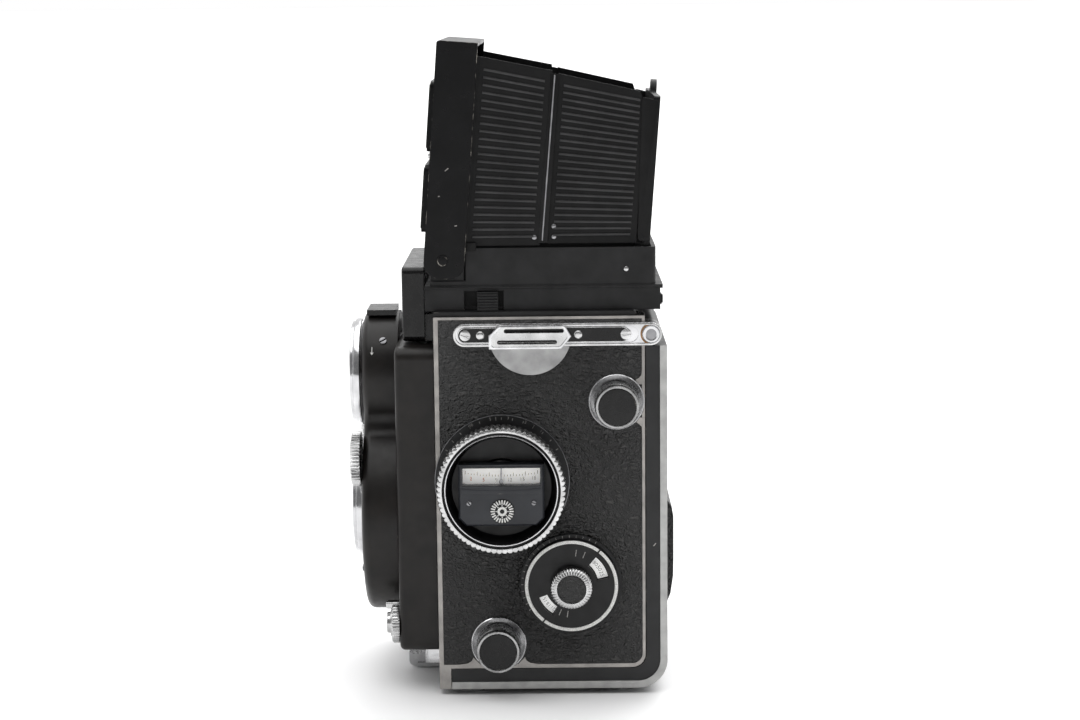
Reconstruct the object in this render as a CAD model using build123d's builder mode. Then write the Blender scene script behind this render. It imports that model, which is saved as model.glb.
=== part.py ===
from build123d import *
from math import cos, radians, sin
import os

# Twin lens reflex camera. Millimetres. Origin at the mouth of the tripod socket, on the plane
# that the feet stand on. +Z is up, the lenses face -Y, and the photographer's left is +X.

# Body
BODY_HALF = 38.2
SKIN = 0.8
TRIM = 0.8
FRONT = -37.0
SEAM_Y = 30.3
SEAM_Z = 8.9
BODY_TOP = 124.5
BASE = 2.0
REAR = 37.3
INNER_HALF = 32.5
SEAM_CORNER = 4.5
DOOR_CORNER = 9.5
GAP = 0.15

# Optics
VIEW_Z = 101.0
TAKE_Z = 56.0
FILM_PLANE = 25.3
GATE = 54.0
MIRROR_Y = -2.0

# Film spools
LOW_SPOOL = (-17.5, 17.5)
HIGH_SPOOL = (21.1, 97.0)
SPOOL_R = 12.25
SPOOL_HALF = 32.0
SPOOL_CORE_R = 6.0
SPOOL_HOLE_R = 3.2

# Film rollers
UPPER_ROLLER = (24.6, 84.3)
LOWER_ROLLER = (23.4, 24.5)

# Back hinge
HINGE = (32.2, 118.8)
KNUCKLE_R = 3.3
PIN_R = 1.5

# Focus knob and meter
FOCUS = (-15.7, 71.7)
FOCUS_BASE_R = 21.6
FOCUS_RING_R = 20.5
FOCUS_FACE = 56.4
METER_WIDTH = 27.0
METER_FOOT, METER_HEAD = 11.4, 8.2

# Film crank on the right, with its folding grip, and the latch under the back
CRANK = (-6.0, 62.0)
GRIP = (-49.1, 29.5)
LATCH = (-28.0, 1.05)

# Film speed dial
SPEED = (6.2, 37.4)
SPEED_R = 16.5

# Lens standard and lenses
STANDARD_HALF = 36.0
STANDARD = (-50.0, -37.3)
STANDARD_Z = (13.5, 114.3)
PLATE_FRONT = -61.9
UPPER_LOBE_R = 20.5
LOWER_LOBE = (54.0, 34.0)
BAYONET_R = 18.0
BAYONET_FRONT = -66.2
WHEEL = (22.0, 75.5)
WHEEL_R = 9.0
RELEASE = (-29.0, 22.0)
SOCKET = (29.5, 22.0)

# Rods that guide the lens standard
ROD_R = 1.5
ROD_PLACES = [(34.0, 42.0), (-34.0, 42.0), (34.0, 105.0), (-34.0, 105.0)]

# Hood
HOOD_HALF = 35.0
HOOD_FRONT = -39.8
HOOD_REAR = 35.4
HOOD_SEAT = 126.0
HOOD_SPLIT = 134.0
HOOD_WALL_TOP = 146.0
LEAN = 4.4
LID_AXIS = (-33.8, 142.3)
LID_FACE = 6.0
LID_HALF = 36.2
LID_LENGTH = 69.1
FLANGE = 13.0
LEAF = 0.8
FRONT_LEAF_X = 33.0
REAR_LEAF_X = 31.8
BACK_AXIS = (30.5, 138.0)
TOP_SLOPE = radians(-11.5)
UP = (0, sin(radians(LEAN)), cos(radians(LEAN)))
FLAP_TOP, FLAP_HEIGHT, FLAP_HALF = 57.0, 25.0, 24.0
LOUPE_HEIGHT = 33.0


def side(x):
    """Plane facing +X at this x, with local x along +Y and local y along +Z."""
    return Plane(origin=(x, 0, 0), x_dir=(0, 1, 0), z_dir=(1, 0, 0))


def front(y):
    """Plane facing -Y at this y, with local x along +X and local y along +Z."""
    return Plane(origin=(0, y, 0), x_dir=(1, 0, 0), z_dir=(0, -1, 0))


def level(z):
    """Plane facing +Z at this z."""
    return Plane.XY.offset(z)


def save(piece, name):
    """Label a finished piece and write its STEP file."""
    piece.part.label = name
    export_step(piece.part, f"parts/{name}.step")


def box(x, y, z, mode=Mode.ADD):
    """Block between low and high values on each axis."""
    with Locations(((x[0] + x[1]) / 2, (y[0] + y[1]) / 2, (z[0] + z[1]) / 2)):
        Box(x[1] - x[0], y[1] - y[0], z[1] - z[0], mode=mode)


def disc(plane, centre, radius, depth, mode=Mode.ADD):
    """Round boss or hole standing on a plane."""
    with BuildSketch(plane) as outline:
        with Locations(centre):
            Circle(radius)
    extrude(outline.sketch, amount=depth, mode=mode)


def slab(plane, points, depth, mode=Mode.ADD):
    """Prism on a closed outline."""
    with BuildSketch(plane) as outline:
        with BuildLine():
            Polyline(*points, close=True)
        make_face()
    extrude(outline.sketch, amount=depth, mode=mode)


def knurl(plane, centre, radius, count, depth, cut):
    """Round grooves cut round a rim."""
    with BuildSketch(plane) as grooves:
        with Locations(centre):
            with PolarLocations(radius + cut * 0.4, count):
                Circle(cut)
    extrude(grooves.sketch, amount=depth, mode=Mode.SUBTRACT)


def mirrored(piece, name):
    """Write the same piece for the other side of the camera."""
    with BuildPart() as other:
        mirror(piece.part, about=Plane.YZ)
    save(other, name)


def both_sides(piece, name):
    """Write a piece and its mirror image as one node of separate solids."""
    with BuildPart() as pair:
        add(piece.part)
        mirror(piece.part, about=Plane.YZ)
    save(pair, name)


os.makedirs("parts", exist_ok=True)


# ---------------------------------------------------------------- body

def body_casting():
    with BuildPart() as casting:
        outline = [(FRONT, BASE), (-33.2, BASE), (-33.2, SEAM_Z), (SEAM_Y, SEAM_Z),
                   (SEAM_Y, BODY_TOP), (FRONT, BODY_TOP)]
        slab(side(-BODY_HALF), outline, 2 * BODY_HALF)
        fillet(casting.edges().filter_by(Axis.X).sort_by_distance((0, SEAM_Y, SEAM_Z))[0],
               SEAM_CORNER)
        # gap for the knuckle of the back between two ears
        box((-30, 30), (28.4, 31), (113, BODY_TOP + 1), Mode.SUBTRACT)
        face = BODY_HALF + SKIN
        for x in (30.0, -BODY_HALF):
            box((x, x + BODY_HALF - 30), (28.4, HINGE[0]), (HINGE[1] - 3.5, HINGE[1] + 3.5))
        for x in (30.0, -face):
            disc(side(x), HINGE, 3.5, face - 30)
        disc(side(-face - 1), HINGE, PIN_R, 2 * face + 2, Mode.SUBTRACT)
        # mirror box, open at the top
        mirror_seat = [(-34, 77), (-23.88, 77), (23.62, BODY_TOP), (-34, BODY_TOP)]
        slab(side(-31), mirror_seat, 62, Mode.SUBTRACT)
        disc(front(-33), (0, VIEW_Z), 15.0, 5, Mode.SUBTRACT)
        # taking chamber, widening from the lens to the film gate
        with BuildSketch(front(FRONT)):
            with Locations((0, TAKE_Z)):
                Rectangle(30, 30)
        with BuildSketch(front(FILM_PLANE)):
            with Locations((0, TAKE_Z)):
                Rectangle(GATE, GATE)
        loft(mode=Mode.SUBTRACT)
        # film chambers, open to the back
        box((-INNER_HALF, INNER_HALF), (FILM_PLANE, SEAM_Y + 1), (SEAM_Z - 1, 113), Mode.SUBTRACT)
        box((-INNER_HALF, INNER_HALF), (LOW_SPOOL[0], SEAM_Y + 1), (SEAM_Z - 1, 20), Mode.SUBTRACT)
        box((-INNER_HALF, INNER_HALF), (LOW_SPOOL[0] - 14.2, LOW_SPOOL[0] + 14.2),
            (SEAM_Z - 1, LOW_SPOOL[1]), Mode.SUBTRACT)
        disc(side(-INNER_HALF), LOW_SPOOL, 14.2, 2 * INNER_HALF, Mode.SUBTRACT)
        disc(side(-INNER_HALF), HIGH_SPOOL, 12.9, 2 * INNER_HALF, Mode.SUBTRACT)
        for centre, radius in ((UPPER_ROLLER, 1.9), (LOWER_ROLLER, 2.8)):
            disc(side(-INNER_HALF), centre, radius, 2 * INNER_HALF, Mode.SUBTRACT)
            disc(side(-34.2), centre, 0.85, 68.4, Mode.SUBTRACT)
        # holes for the spool pins, the guide rods and the focus, meter and dial shafts
        for centre in (LOW_SPOOL, HIGH_SPOOL):
            disc(side(30), centre, 2.5, 10, Mode.SUBTRACT)
            disc(side(-INNER_HALF - 0.5), centre, 2.4, 4.0)
        with BuildSketch(front(-22)):
            with Locations(*ROD_PLACES):
                Circle(ROD_R + 0.06)
        extrude(amount=16, mode=Mode.SUBTRACT)
        disc(side(36), FOCUS, 4.0, 3, Mode.SUBTRACT)
        disc(side(-39), CRANK, 4.0, 4.5, Mode.SUBTRACT)
    save(casting, "body_casting")


def side_skin():
    """Leather panel between the bright lines of one side."""
    low, high = (-35.5, 10.2), (29.2, 123.6)
    with BuildPart() as leather:
        box((BODY_HALF, BODY_HALF + SKIN), (low[0], high[0]), (low[1], high[1]))
        fillet(leather.edges().filter_by(Axis.X).sort_by_distance((39, high[0], low[1]))[0], 3.5)
        for centre in (LOW_SPOOL, HIGH_SPOOL):
            disc(side(BODY_HALF - 1), centre, 2.6, 4, Mode.SUBTRACT)
        for centre in (FOCUS, CRANK):
            disc(side(BODY_HALF - 1), centre, 4.2, 4, Mode.SUBTRACT)
        disc(side(BODY_HALF - 1), HINGE, 3.55, 4, Mode.SUBTRACT)
    both_sides(leather, "side_leather")
    with BuildPart() as line:
        box((BODY_HALF, BODY_HALF + TRIM), (FRONT, SEAM_Y - 0.1), (SEAM_Z, BODY_TOP))
        box((BODY_HALF, BODY_HALF + TRIM), (FRONT, -33.2), (BASE, SEAM_Z))
        fillet(line.edges().filter_by(Axis.X).sort_by_distance((39, SEAM_Y, SEAM_Z))[0], 4.4)
        with BuildSketch(side(BODY_HALF - 1)) as hole:
            with Locations(((low[0] + high[0]) / 2, (low[1] + high[1]) / 2)):
                Rectangle(high[0] - low[0] + 0.1, high[1] - low[1] + 0.1)
            fillet(hole.vertices().sort_by_distance((high[0], low[1], 0))[0], 3.5)
        extrude(amount=4, mode=Mode.SUBTRACT)
        disc(side(BODY_HALF - 1), HINGE, 3.55, 4, Mode.SUBTRACT)
    both_sides(line, "side_trims")


def strap_fittings():
    """Capsule plate, its fasteners, the lug with two slots and the half-round rub plate."""
    mid_z = HINGE[1]
    with BuildPart() as plate:
        with BuildSketch(side(BODY_HALF + TRIM)):
            with Locations((2.5, mid_z)):
                SlotOverall(66.4, 7.3)
        extrude(amount=0.9)
        with BuildSketch(side(BODY_HALF + TRIM + 0.6)):
            with Locations((-0.6, mid_z)):
                SlotOverall(57.5, 5.2)
        extrude(amount=1, mode=Mode.SUBTRACT)
        disc(side(BODY_HALF), HINGE, PIN_R + 0.02, 3, Mode.SUBTRACT)
    both_sides(plate, "strap_plates")
    inset = BODY_HALF + TRIM + 0.6
    with BuildPart() as fasteners:
        for y, radius in ((-26.9, 1.7), (-22.1, 1.2), (9.0, 1.2), (24.2, 1.7)):
            disc(side(inset), (y, mid_z), radius, 0.7)
            if radius > 1.5:
                box((inset + 0.4, inset + 1), (y - 2, y + 2), (mid_z - 0.25, mid_z + 0.25),
                    Mode.SUBTRACT)
    both_sides(fasteners, "strap_plate_screws")
    with BuildPart() as lug:
        shape = [(-19.3, 114.6), (3.6, 114.6), (6.8, 118.6), (4.6, 122.4), (-15.8, 122.4),
                 (-19.3, 119.0)]
        slab(side(inset + 0.3), shape, 2.4)
        for y, z in ((-5.0, 120.4), (-7.2, 116.8)):
            with BuildSketch(side(inset - 1)):
                with Locations((y, z)):
                    SlotOverall(19.0, 1.3)
            extrude(amount=6, mode=Mode.SUBTRACT)
    both_sides(lug, "strap_lugs")
    with BuildPart() as guard:
        with BuildSketch(side(BODY_HALF + SKIN)):
            with Locations((-6.3, 119.0)):
                Circle(13.2)
            with Locations((-6.3, 130.0)):
                Rectangle(40, 29.9, mode=Mode.SUBTRACT)
        extrude(amount=0.5)
    both_sides(guard, "rub_plates")


def top_plate():
    with BuildPart() as plate:
        box((-38, 38), (FRONT, 27.6), (BODY_TOP, HOOD_SEAT))
        box((-29.5, 29.5), (-33.5, 23.0), (BODY_TOP - 1, HOOD_SEAT + 1), Mode.SUBTRACT)
        chamfer(plate.edges().filter_by(Axis.X).sort_by_distance((0, 27.6, HOOD_SEAT))[0], 0.9)
    save(plate, "top_plate")


def optics():
    """Mirror, focusing screen and its frame."""
    with BuildPart() as mirror_glass:
        half = 28.0
        low = MIRROR_Y - 20.5
        high = MIRROR_Y + 20.5
        lift = BODY_TOP - 23.62
        slab(side(-half), [(low, low + lift), (high, high + lift), (high - 1, high + lift + 1),
                           (low - 1, low + lift + 1)], 2 * half)
    save(mirror_glass, "reflex_mirror")
    with BuildPart() as screen:
        box((-29.2, 29.2), (-33.2, 22.7), (BODY_TOP + 0.1, BODY_TOP + 1.5))
    save(screen, "focusing_screen")


def film_parts():
    with BuildPart() as rollers:
        for centre, radius in ((UPPER_ROLLER, 1.5), (LOWER_ROLLER, 2.4)):
            disc(side(-30.5), centre, radius, 61)
            disc(side(-34), centre, 0.75, 68)
    save(rollers, "film_rollers")
    for name, centre in (("supply_spool", LOW_SPOOL), ("takeup_spool", HIGH_SPOOL)):
        with BuildPart() as spool:
            disc(side(-SPOOL_HALF), centre, SPOOL_CORE_R, 2 * SPOOL_HALF)
            for x in (-SPOOL_HALF, SPOOL_HALF - 1):
                disc(side(x), centre, SPOOL_R, 1)
            disc(side(-SPOOL_HALF), centre, SPOOL_HOLE_R, 8, Mode.SUBTRACT)
            disc(side(SPOOL_HALF - 8), centre, SPOOL_HOLE_R, 8, Mode.SUBTRACT)
        save(spool, name)


# ---------------------------------------------------------------- hinged back

def back_door():
    half = BODY_HALF + SKIN
    y_in, z_in = SEAM_Y + GAP, SEAM_Z - GAP
    top = 114.8
    with BuildPart() as door:
        slab(side(-half), [(-33, BASE), (REAR, BASE), (REAR, top), (y_in, top), (y_in, z_in),
                           (-33, z_in)], 2 * half)
        edges = door.edges().filter_by(Axis.X)
        fillet(edges.sort_by_distance((0, REAR, BASE))[0], DOOR_CORNER)
        edges = door.edges().filter_by(Axis.X)
        fillet(edges.sort_by_distance((0, y_in, z_in))[0], SEAM_CORNER - GAP)
        # hollow behind the outer wall
        with BuildSketch(side(-32.3)) as hollow:
            with BuildLine():
                Polyline((-31.5, 3.5), (35.8, 3.5), (35.8, 113.3), (24, 113.3), (24, 12),
                         (-31.5, 12), close=True)
            make_face()
            fillet(hollow.vertices().sort_by_distance((35.8, 3.5, 0))[0], DOOR_CORNER - 1.5)
        extrude(amount=64.6, mode=Mode.SUBTRACT)
        box((-37.6, 37.6), (REAR - 0.5, REAR + 1), (15.9, 112.1), Mode.SUBTRACT)
        # knuckle on the hinge pin
        box((-29.7, 29.7), (30.9, 33.8), (113, HINGE[1]))
        disc(side(-29.7), HINGE, KNUCKLE_R, 59.4)
        disc(side(-30), HINGE, PIN_R + 0.1, 60, Mode.SUBTRACT)
        disc(level(BASE - 1), (0, 0), 8.0, 6, Mode.SUBTRACT)
        # lugs for the latch pin
        for x in (-11.5, 9.3):
            box((x, x + 2.2), (-29.5, -26.5), (0.2, BASE))
        disc(side(-12), LATCH, 0.55, 24, Mode.SUBTRACT)
    save(door, "back_door")
    with BuildPart() as rim:
        outer = [(-33, BASE), (REAR, BASE), (REAR, top)]
        for x in (half, -half - 0.4):
            with BuildSketch(side(x)) as band:
                with BuildLine():
                    Polyline(*outer, (REAR - 2.3, top), (REAR - 2.3, BASE + 2.4),
                             (-33, BASE + 2.4), close=True)
                make_face()
                fillet(band.vertices().sort_by_distance((REAR, BASE, 0))[0], DOOR_CORNER)
                fillet(band.vertices().sort_by_distance((REAR - 2.3, BASE + 2.4, 0))[0],
                       DOOR_CORNER - 2.3)
            extrude(amount=0.4)
    save(rim, "back_rim")
    with BuildPart() as leather:
        box((-37.5, 37.5), (REAR - 0.5, REAR - 0.1), (16, 112))
        bulge = [(36.9, 24.8), (39.0, 30.0), (39.9, 36.0), (40.0, 42.0), (40.0, 56.0), (39.4, 59.5),
                 (38.2, 61.2), (36.9, 61.8)]
        slab(side(-26), bulge, 52)
    save(leather, "back_leather")
    with BuildPart() as plate:
        box((-31, 31), (26.2, 27.4), (27, 85))
        fillet(plate.edges().filter_by(Axis.Y), 2)
        for z in (42, 68):
            strip = [(-22, 27.4), (-14, 27.4), (0, 35.2), (14, 27.4), (22, 27.4), (22, 28),
                     (14.3, 28), (0.6, 35.8), (-0.6, 35.8), (-14.3, 28), (-22, 28)]
            slab(level(z), strip, 5)
    save(plate, "pressure_plate")


def underside():
    with BuildPart() as bush:
        disc(level(0), (0, 0), 13.0, BASE)
        disc(level(BASE), (0, 0), 7.95, 6.0)
        disc(level(-1), (0, 0), 3.175, 12, Mode.SUBTRACT)
    save(bush, "tripod_bush")
    with BuildPart() as feet:
        with BuildSketch(level(0)):
            with Locations((33, -24.7), (-33, -24.7), (33, 20.4), (-33, 20.4)):
                Circle(2.3)
        extrude(amount=BASE)
        fillet(feet.faces().sort_by(Axis.Z)[0].edges(), 0.5)
    save(feet, "feet")
    with BuildPart() as pin:
        disc(side(-11.5), LATCH, 0.5, 23)
    save(pin, "latch_pin")
    with BuildPart() as latch:
        box((-9, 9), (-46, LATCH[0]), (0.4, 1.7))
        disc(side(-9), LATCH, 0.8, 18)
        box((-8, 8), (-48.9, -43.4), (0.4, 5.2))
        fillet(latch.edges().filter_by(Axis.X).sort_by_distance((0, -48.9, 0.4))[0], 2.0)
        for y in (-44.6, -46.0, -47.4):
            box((-9, 9), (y - 0.35, y + 0.35), (4.7, 6), Mode.SUBTRACT)
        disc(side(-12), LATCH, 0.55, 24, Mode.SUBTRACT)
    save(latch, "door_latch")


def hinge_pins():
    """Pin of the back, pins of the hood lid, and the rod of the hood's back wall."""
    with BuildPart() as pins:
        disc(side(-40.0), HINGE, PIN_R, 80.0)
        for x in (39.9, -40.7):
            disc(side(x), HINGE, 2.8, 0.8)
        for x in (31.9, -36.9):
            disc(side(x), LID_AXIS, 1.1, 5.0)
        disc(side(-33.7), BACK_AXIS, 0.5, 67.4)
    save(pins, "hinge_pins")


# ---------------------------------------------------------------- left side controls

def spool_knobs():
    base = BODY_HALF + SKIN
    with BuildPart() as dishes:
        for centre in (LOW_SPOOL, HIGH_SPOOL):
            disc(side(base), centre, 9.0, 1.8)
            disc(side(base + 0.6), centre, 7.6, 2, Mode.SUBTRACT)
            disc(side(base - 1), centre, 2.6, 3, Mode.SUBTRACT)
    save(dishes, "knob_dishes")
    for name, centre in (("supply_knob", LOW_SPOOL), ("takeup_knob", HIGH_SPOOL)):
        with BuildPart() as knob:
            disc(side(base + 0.8), centre, 7.1, 10.2)
            disc(side(base + 10.6), centre, 5.7, 1, Mode.SUBTRACT)
            knurl(side(base + 5.5), centre, 7.1, 48, 2.5, 0.22)
            disc(side(28.5), centre, 2.4, base - 27)
        save(knob, name)


def focus_knob():
    base = BODY_HALF + SKIN
    rim = FOCUS_FACE - 6.2
    with BuildPart() as scale:
        disc(side(base), FOCUS, FOCUS_BASE_R, 2.0)
        disc(side(base - 1), FOCUS, 12.0, 4, Mode.SUBTRACT)
    save(scale, "focus_scale_ring")
    with BuildPart() as ring:
        disc(side(base + 2.4), FOCUS, 18.6, rim - base - 2.4)
        disc(side(rim), FOCUS, FOCUS_RING_R, 6.2)
        disc(side(FOCUS_FACE - 7.2), FOCUS, 17.5, 8, Mode.SUBTRACT)
        disc(side(base), FOCUS, 9.0, 20, Mode.SUBTRACT)
        knurl(side(rim), FOCUS, FOCUS_RING_R, 64, 6.2, 0.75)
    save(ring, "focus_ring")
    low_y, high_y = FOCUS[0] - METER_WIDTH / 2, FOCUS[0] + METER_WIDTH / 2
    low_z, high_z = FOCUS[1] - METER_FOOT, FOCUS[1] + METER_HEAD
    deck = FOCUS_FACE - 6.8
    with BuildPart() as housing:
        disc(side(base), FOCUS, 8.6, deck - base)
        disc(side(BODY_HALF - 2), FOCUS, 3.9, 4)
        box((deck, deck + 5.4), (low_y, high_y), (low_z, high_z))
        lower = housing.edges().filter_by(Axis.X).group_by(Axis.Z)[0]
        chamfer(lower, 2.4)
        chamfer(housing.faces().sort_by(Axis.X)[-1].edges(), 0.6)
        box((deck + 1.6, deck + 6), (low_y + 1.2, high_y - 1.2), (high_z - 6.7, high_z - 1),
            Mode.SUBTRACT)
    save(housing, "meter_housing")
    with BuildPart() as needle:
        box((deck + 2.6, deck + 2.9), (FOCUS[0] - 0.25, FOCUS[0] + 0.25),
            (high_z - 6.2, high_z - 1.6))
        disc(side(deck + 2.3), (FOCUS[0], high_z - 5.9), 0.7, 0.9)
    save(needle, "meter_needle")
    with BuildPart() as window:
        box((deck + 4.2, deck + 5.0), (low_y + 1.2, high_y - 1.2), (high_z - 6.7, high_z - 1))
    save(window, "meter_window")


def speed_dial():
    base = BODY_HALF + SKIN
    with BuildPart() as cover:
        disc(side(base), SPEED, SPEED_R, 1.9)
        disc(side(base + 1.9), SPEED, 15.0, 2.2)
        disc(side(base + 1.0), SPEED, 12.8, 2.3, Mode.SUBTRACT)
        disc(side(base), SPEED, 2.2, 5, Mode.SUBTRACT)
        for start, outer, inner in ((12, 12.3, 8.4), (200, 11.4, 8.2)):
            with BuildSketch(side(base + 3)):
                with BuildLine():
                    rim = CenterArc(SPEED, outer, start, 38)
                    hub = CenterArc(SPEED, inner, start, 38)
                    Line(rim @ 0, hub @ 0)
                    Line(rim @ 1, hub @ 1)
                make_face()
            extrude(amount=3, mode=Mode.SUBTRACT)
    save(cover, "speed_dial_cover")
    with BuildPart() as disk:
        disc(side(base + 1.5), SPEED, 12.5, 0.9)
        disc(side(base + 2), SPEED, 2.1, 4)
        disc(side(base + 4.4), SPEED, 6.9, 4.4)
        knurl(side(base + 4.4), SPEED, 6.9, 36, 4.4, 0.28)
        disc(side(base + 8.4), SPEED, 4.5, 1, Mode.SUBTRACT)
    save(disk, "speed_dial_knob")


# ---------------------------------------------------------------- right side controls

def crank_side():
    base = -(BODY_HALF + SKIN)
    with BuildPart() as boss:
        disc(side(base - 2.0), CRANK, 14.5, 2.0)
        disc(side(base - 3), CRANK, 4.2, 4, Mode.SUBTRACT)
    save(boss, "crank_boss")
    with BuildPart() as crank:
        disc(side(base - 5.6), CRANK, 12.5, 3.3)
        disc(side(base - 4), CRANK, 3.9, 6.5)
        with BuildSketch(side(base - 8.4)):
            with Locations((CRANK[0], CRANK[1] - 16)):
                SlotOverall(44, 11, rotation=90)
        extrude(amount=2.8)
        box((base - 12.2, base - 8.4), (CRANK[0] - 4.5, CRANK[0] - 3.0), (27, 32))
        box((base - 12.2, base - 8.4), (CRANK[0] + 3.0, CRANK[0] + 4.5), (27, 32))
        disc(Plane(origin=(0, CRANK[0] - 5, 0), x_dir=(1, 0, 0), z_dir=(0, 1, 0)),
             (GRIP[0], -GRIP[1]), 0.8, 10, Mode.SUBTRACT)
    save(crank, "film_crank")
    with BuildPart() as grip:
        with BuildSketch(level(GRIP[1] + 3.8)):
            with Locations((GRIP[0], CRANK[0])):
                Circle(3.4)
        extrude(amount=17)
        split(bisect_by=side(base - 8.6), keep=Keep.BOTTOM)
        box((GRIP[0] - 1.5, GRIP[0] + 1.5), (CRANK[0] - 2.8, CRANK[0] + 2.8),
            (GRIP[1], GRIP[1] + 4.5))
        disc(Plane(origin=(0, CRANK[0] - 2.8, 0), x_dir=(1, 0, 0), z_dir=(0, 1, 0)),
             (GRIP[0], -GRIP[1]), 1.5, 5.6)
        disc(Plane(origin=(0, CRANK[0] - 4.4, 0), x_dir=(1, 0, 0), z_dir=(0, 1, 0)),
             (GRIP[0], -GRIP[1]), 0.7, 8.8)
    save(grip, "crank_grip")


# ---------------------------------------------------------------- lens standard and lenses

def lens_standard():
    depth = STANDARD[1] - STANDARD[0]
    with BuildPart() as standard:
        with BuildSketch(front(STANDARD[1])):
            with Locations((0, (STANDARD_Z[0] + STANDARD_Z[1]) / 2)):
                RectangleRounded(2 * STANDARD_HALF, STANDARD_Z[1] - STANDARD_Z[0], 4)
        extrude(amount=depth)
        fillet(standard.faces().sort_by(Axis.Y)[0].edges(), 1.6)
        for z, radius in ((VIEW_Z, 13.2), (TAKE_Z, 26.0)):
            disc(front(STANDARD[1] + 1), (0, z), radius, depth + 2, Mode.SUBTRACT)
        with BuildSketch(front(-24)):
            with Locations(*ROD_PLACES):
                Circle(ROD_R)
        extrude(amount=13.5)
        with BuildSketch(front(STANDARD[1] + 1)):
            with Locations(RELEASE):
                Circle(2.1)
        extrude(amount=16, mode=Mode.SUBTRACT)
    save(standard, "lens_standard")
    with BuildPart() as plate:
        with BuildSketch(front(STANDARD[0])) as lobes:
            with Locations((0, VIEW_Z)):
                Circle(UPPER_LOBE_R)
            with Locations((0, LOWER_LOBE[0])):
                Circle(LOWER_LOBE[1])
            fillet(lobes.vertices(), 6)
        extrude(amount=STANDARD[0] - PLATE_FRONT)
        fillet(plate.faces().sort_by(Axis.Y)[0].edges(), 2.6)
        disc(front(-49), (0, VIEW_Z), 13.2, 15, Mode.SUBTRACT)
        disc(front(-49), (0, TAKE_Z), 26.0, 10.5, Mode.SUBTRACT)
        disc(front(-55), (0, TAKE_Z), 13.2, 8, Mode.SUBTRACT)
        for x in (WHEEL[0], -WHEEL[0]):
            disc(front(-49), (x, WHEEL[1]), 1.6, 15, Mode.SUBTRACT)
    save(plate, "lens_plate")


def bayonet_rings():
    """Rings with an outer filter bayonet and a bright inner rim."""
    with BuildPart() as rings:
        for z in (VIEW_Z, TAKE_Z):
            disc(front(PLATE_FRONT), (0, z), BAYONET_R, PLATE_FRONT - BAYONET_FRONT)
        chamfer(rings.faces().group_by(Axis.Y)[0].edges(), 0.5)
        for z in (VIEW_Z, TAKE_Z):
            disc(front(PLATE_FRONT + 1), (0, z), 15.4, 8, Mode.SUBTRACT)
            with BuildSketch(front(PLATE_FRONT - 1.0)):
                with Locations((0, z)):
                    Circle(BAYONET_R + 1)
                    Circle(BAYONET_R - 0.9, mode=Mode.SUBTRACT)
            extrude(amount=1.4, mode=Mode.SUBTRACT)
    save(rings, "bayonet_rings")


def lenses():
    """Two barrels, each with a front and a rear glass."""
    places = ((VIEW_Z, -36.0), (TAKE_Z, -34.0))
    seat = 1.2
    with BuildPart() as barrels:
        for z, rear in places:
            disc(front(rear), (0, z), 13.0, rear - PLATE_FRONT)
            disc(front(PLATE_FRONT), (0, z), 15.2, 2.6)
            disc(front(rear + 1), (0, z), 10.6, rear - PLATE_FRONT + 6, Mode.SUBTRACT)
            disc(front(PLATE_FRONT + seat), (0, z), 12.2, 8, Mode.SUBTRACT)
    save(barrels, "lens_barrels")
    with BuildPart() as glasses:
        for z, rear in places:
            disc(front(PLATE_FRONT + seat), (0, z), 12.1, seat + 1.0)
        fillet(glasses.faces().group_by(Axis.Y)[0].edges(), 0.9)
        for z, rear in places:
            disc(front(rear - 0.5), (0, z), 10.5, 4.0)
    save(glasses, "lens_glasses")


def shutter():
    with BuildPart() as case:
        disc(front(-43), (0, TAKE_Z), 25.8, 16.0)
        disc(front(-42), (0, TAKE_Z), 13.1, 18, Mode.SUBTRACT)
    save(case, "shutter_case")


def thumb_wheels():
    for name, x in (("aperture_wheel", WHEEL[0]), ("shutter_wheel", -WHEEL[0])):
        with BuildPart() as wheel:
            disc(front(PLATE_FRONT - 0.3), (x, WHEEL[1]), WHEEL_R, 3.6)
            knurl(front(PLATE_FRONT - 0.3), (x, WHEEL[1]), WHEEL_R, 40, 3.6, 0.35)
            disc(front(-54), (x, WHEEL[1]), 1.55, 9)
            disc(front(PLATE_FRONT - 3.4), (x, WHEEL[1]), 6.0, 2, Mode.SUBTRACT)
        save(wheel, name)


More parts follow.
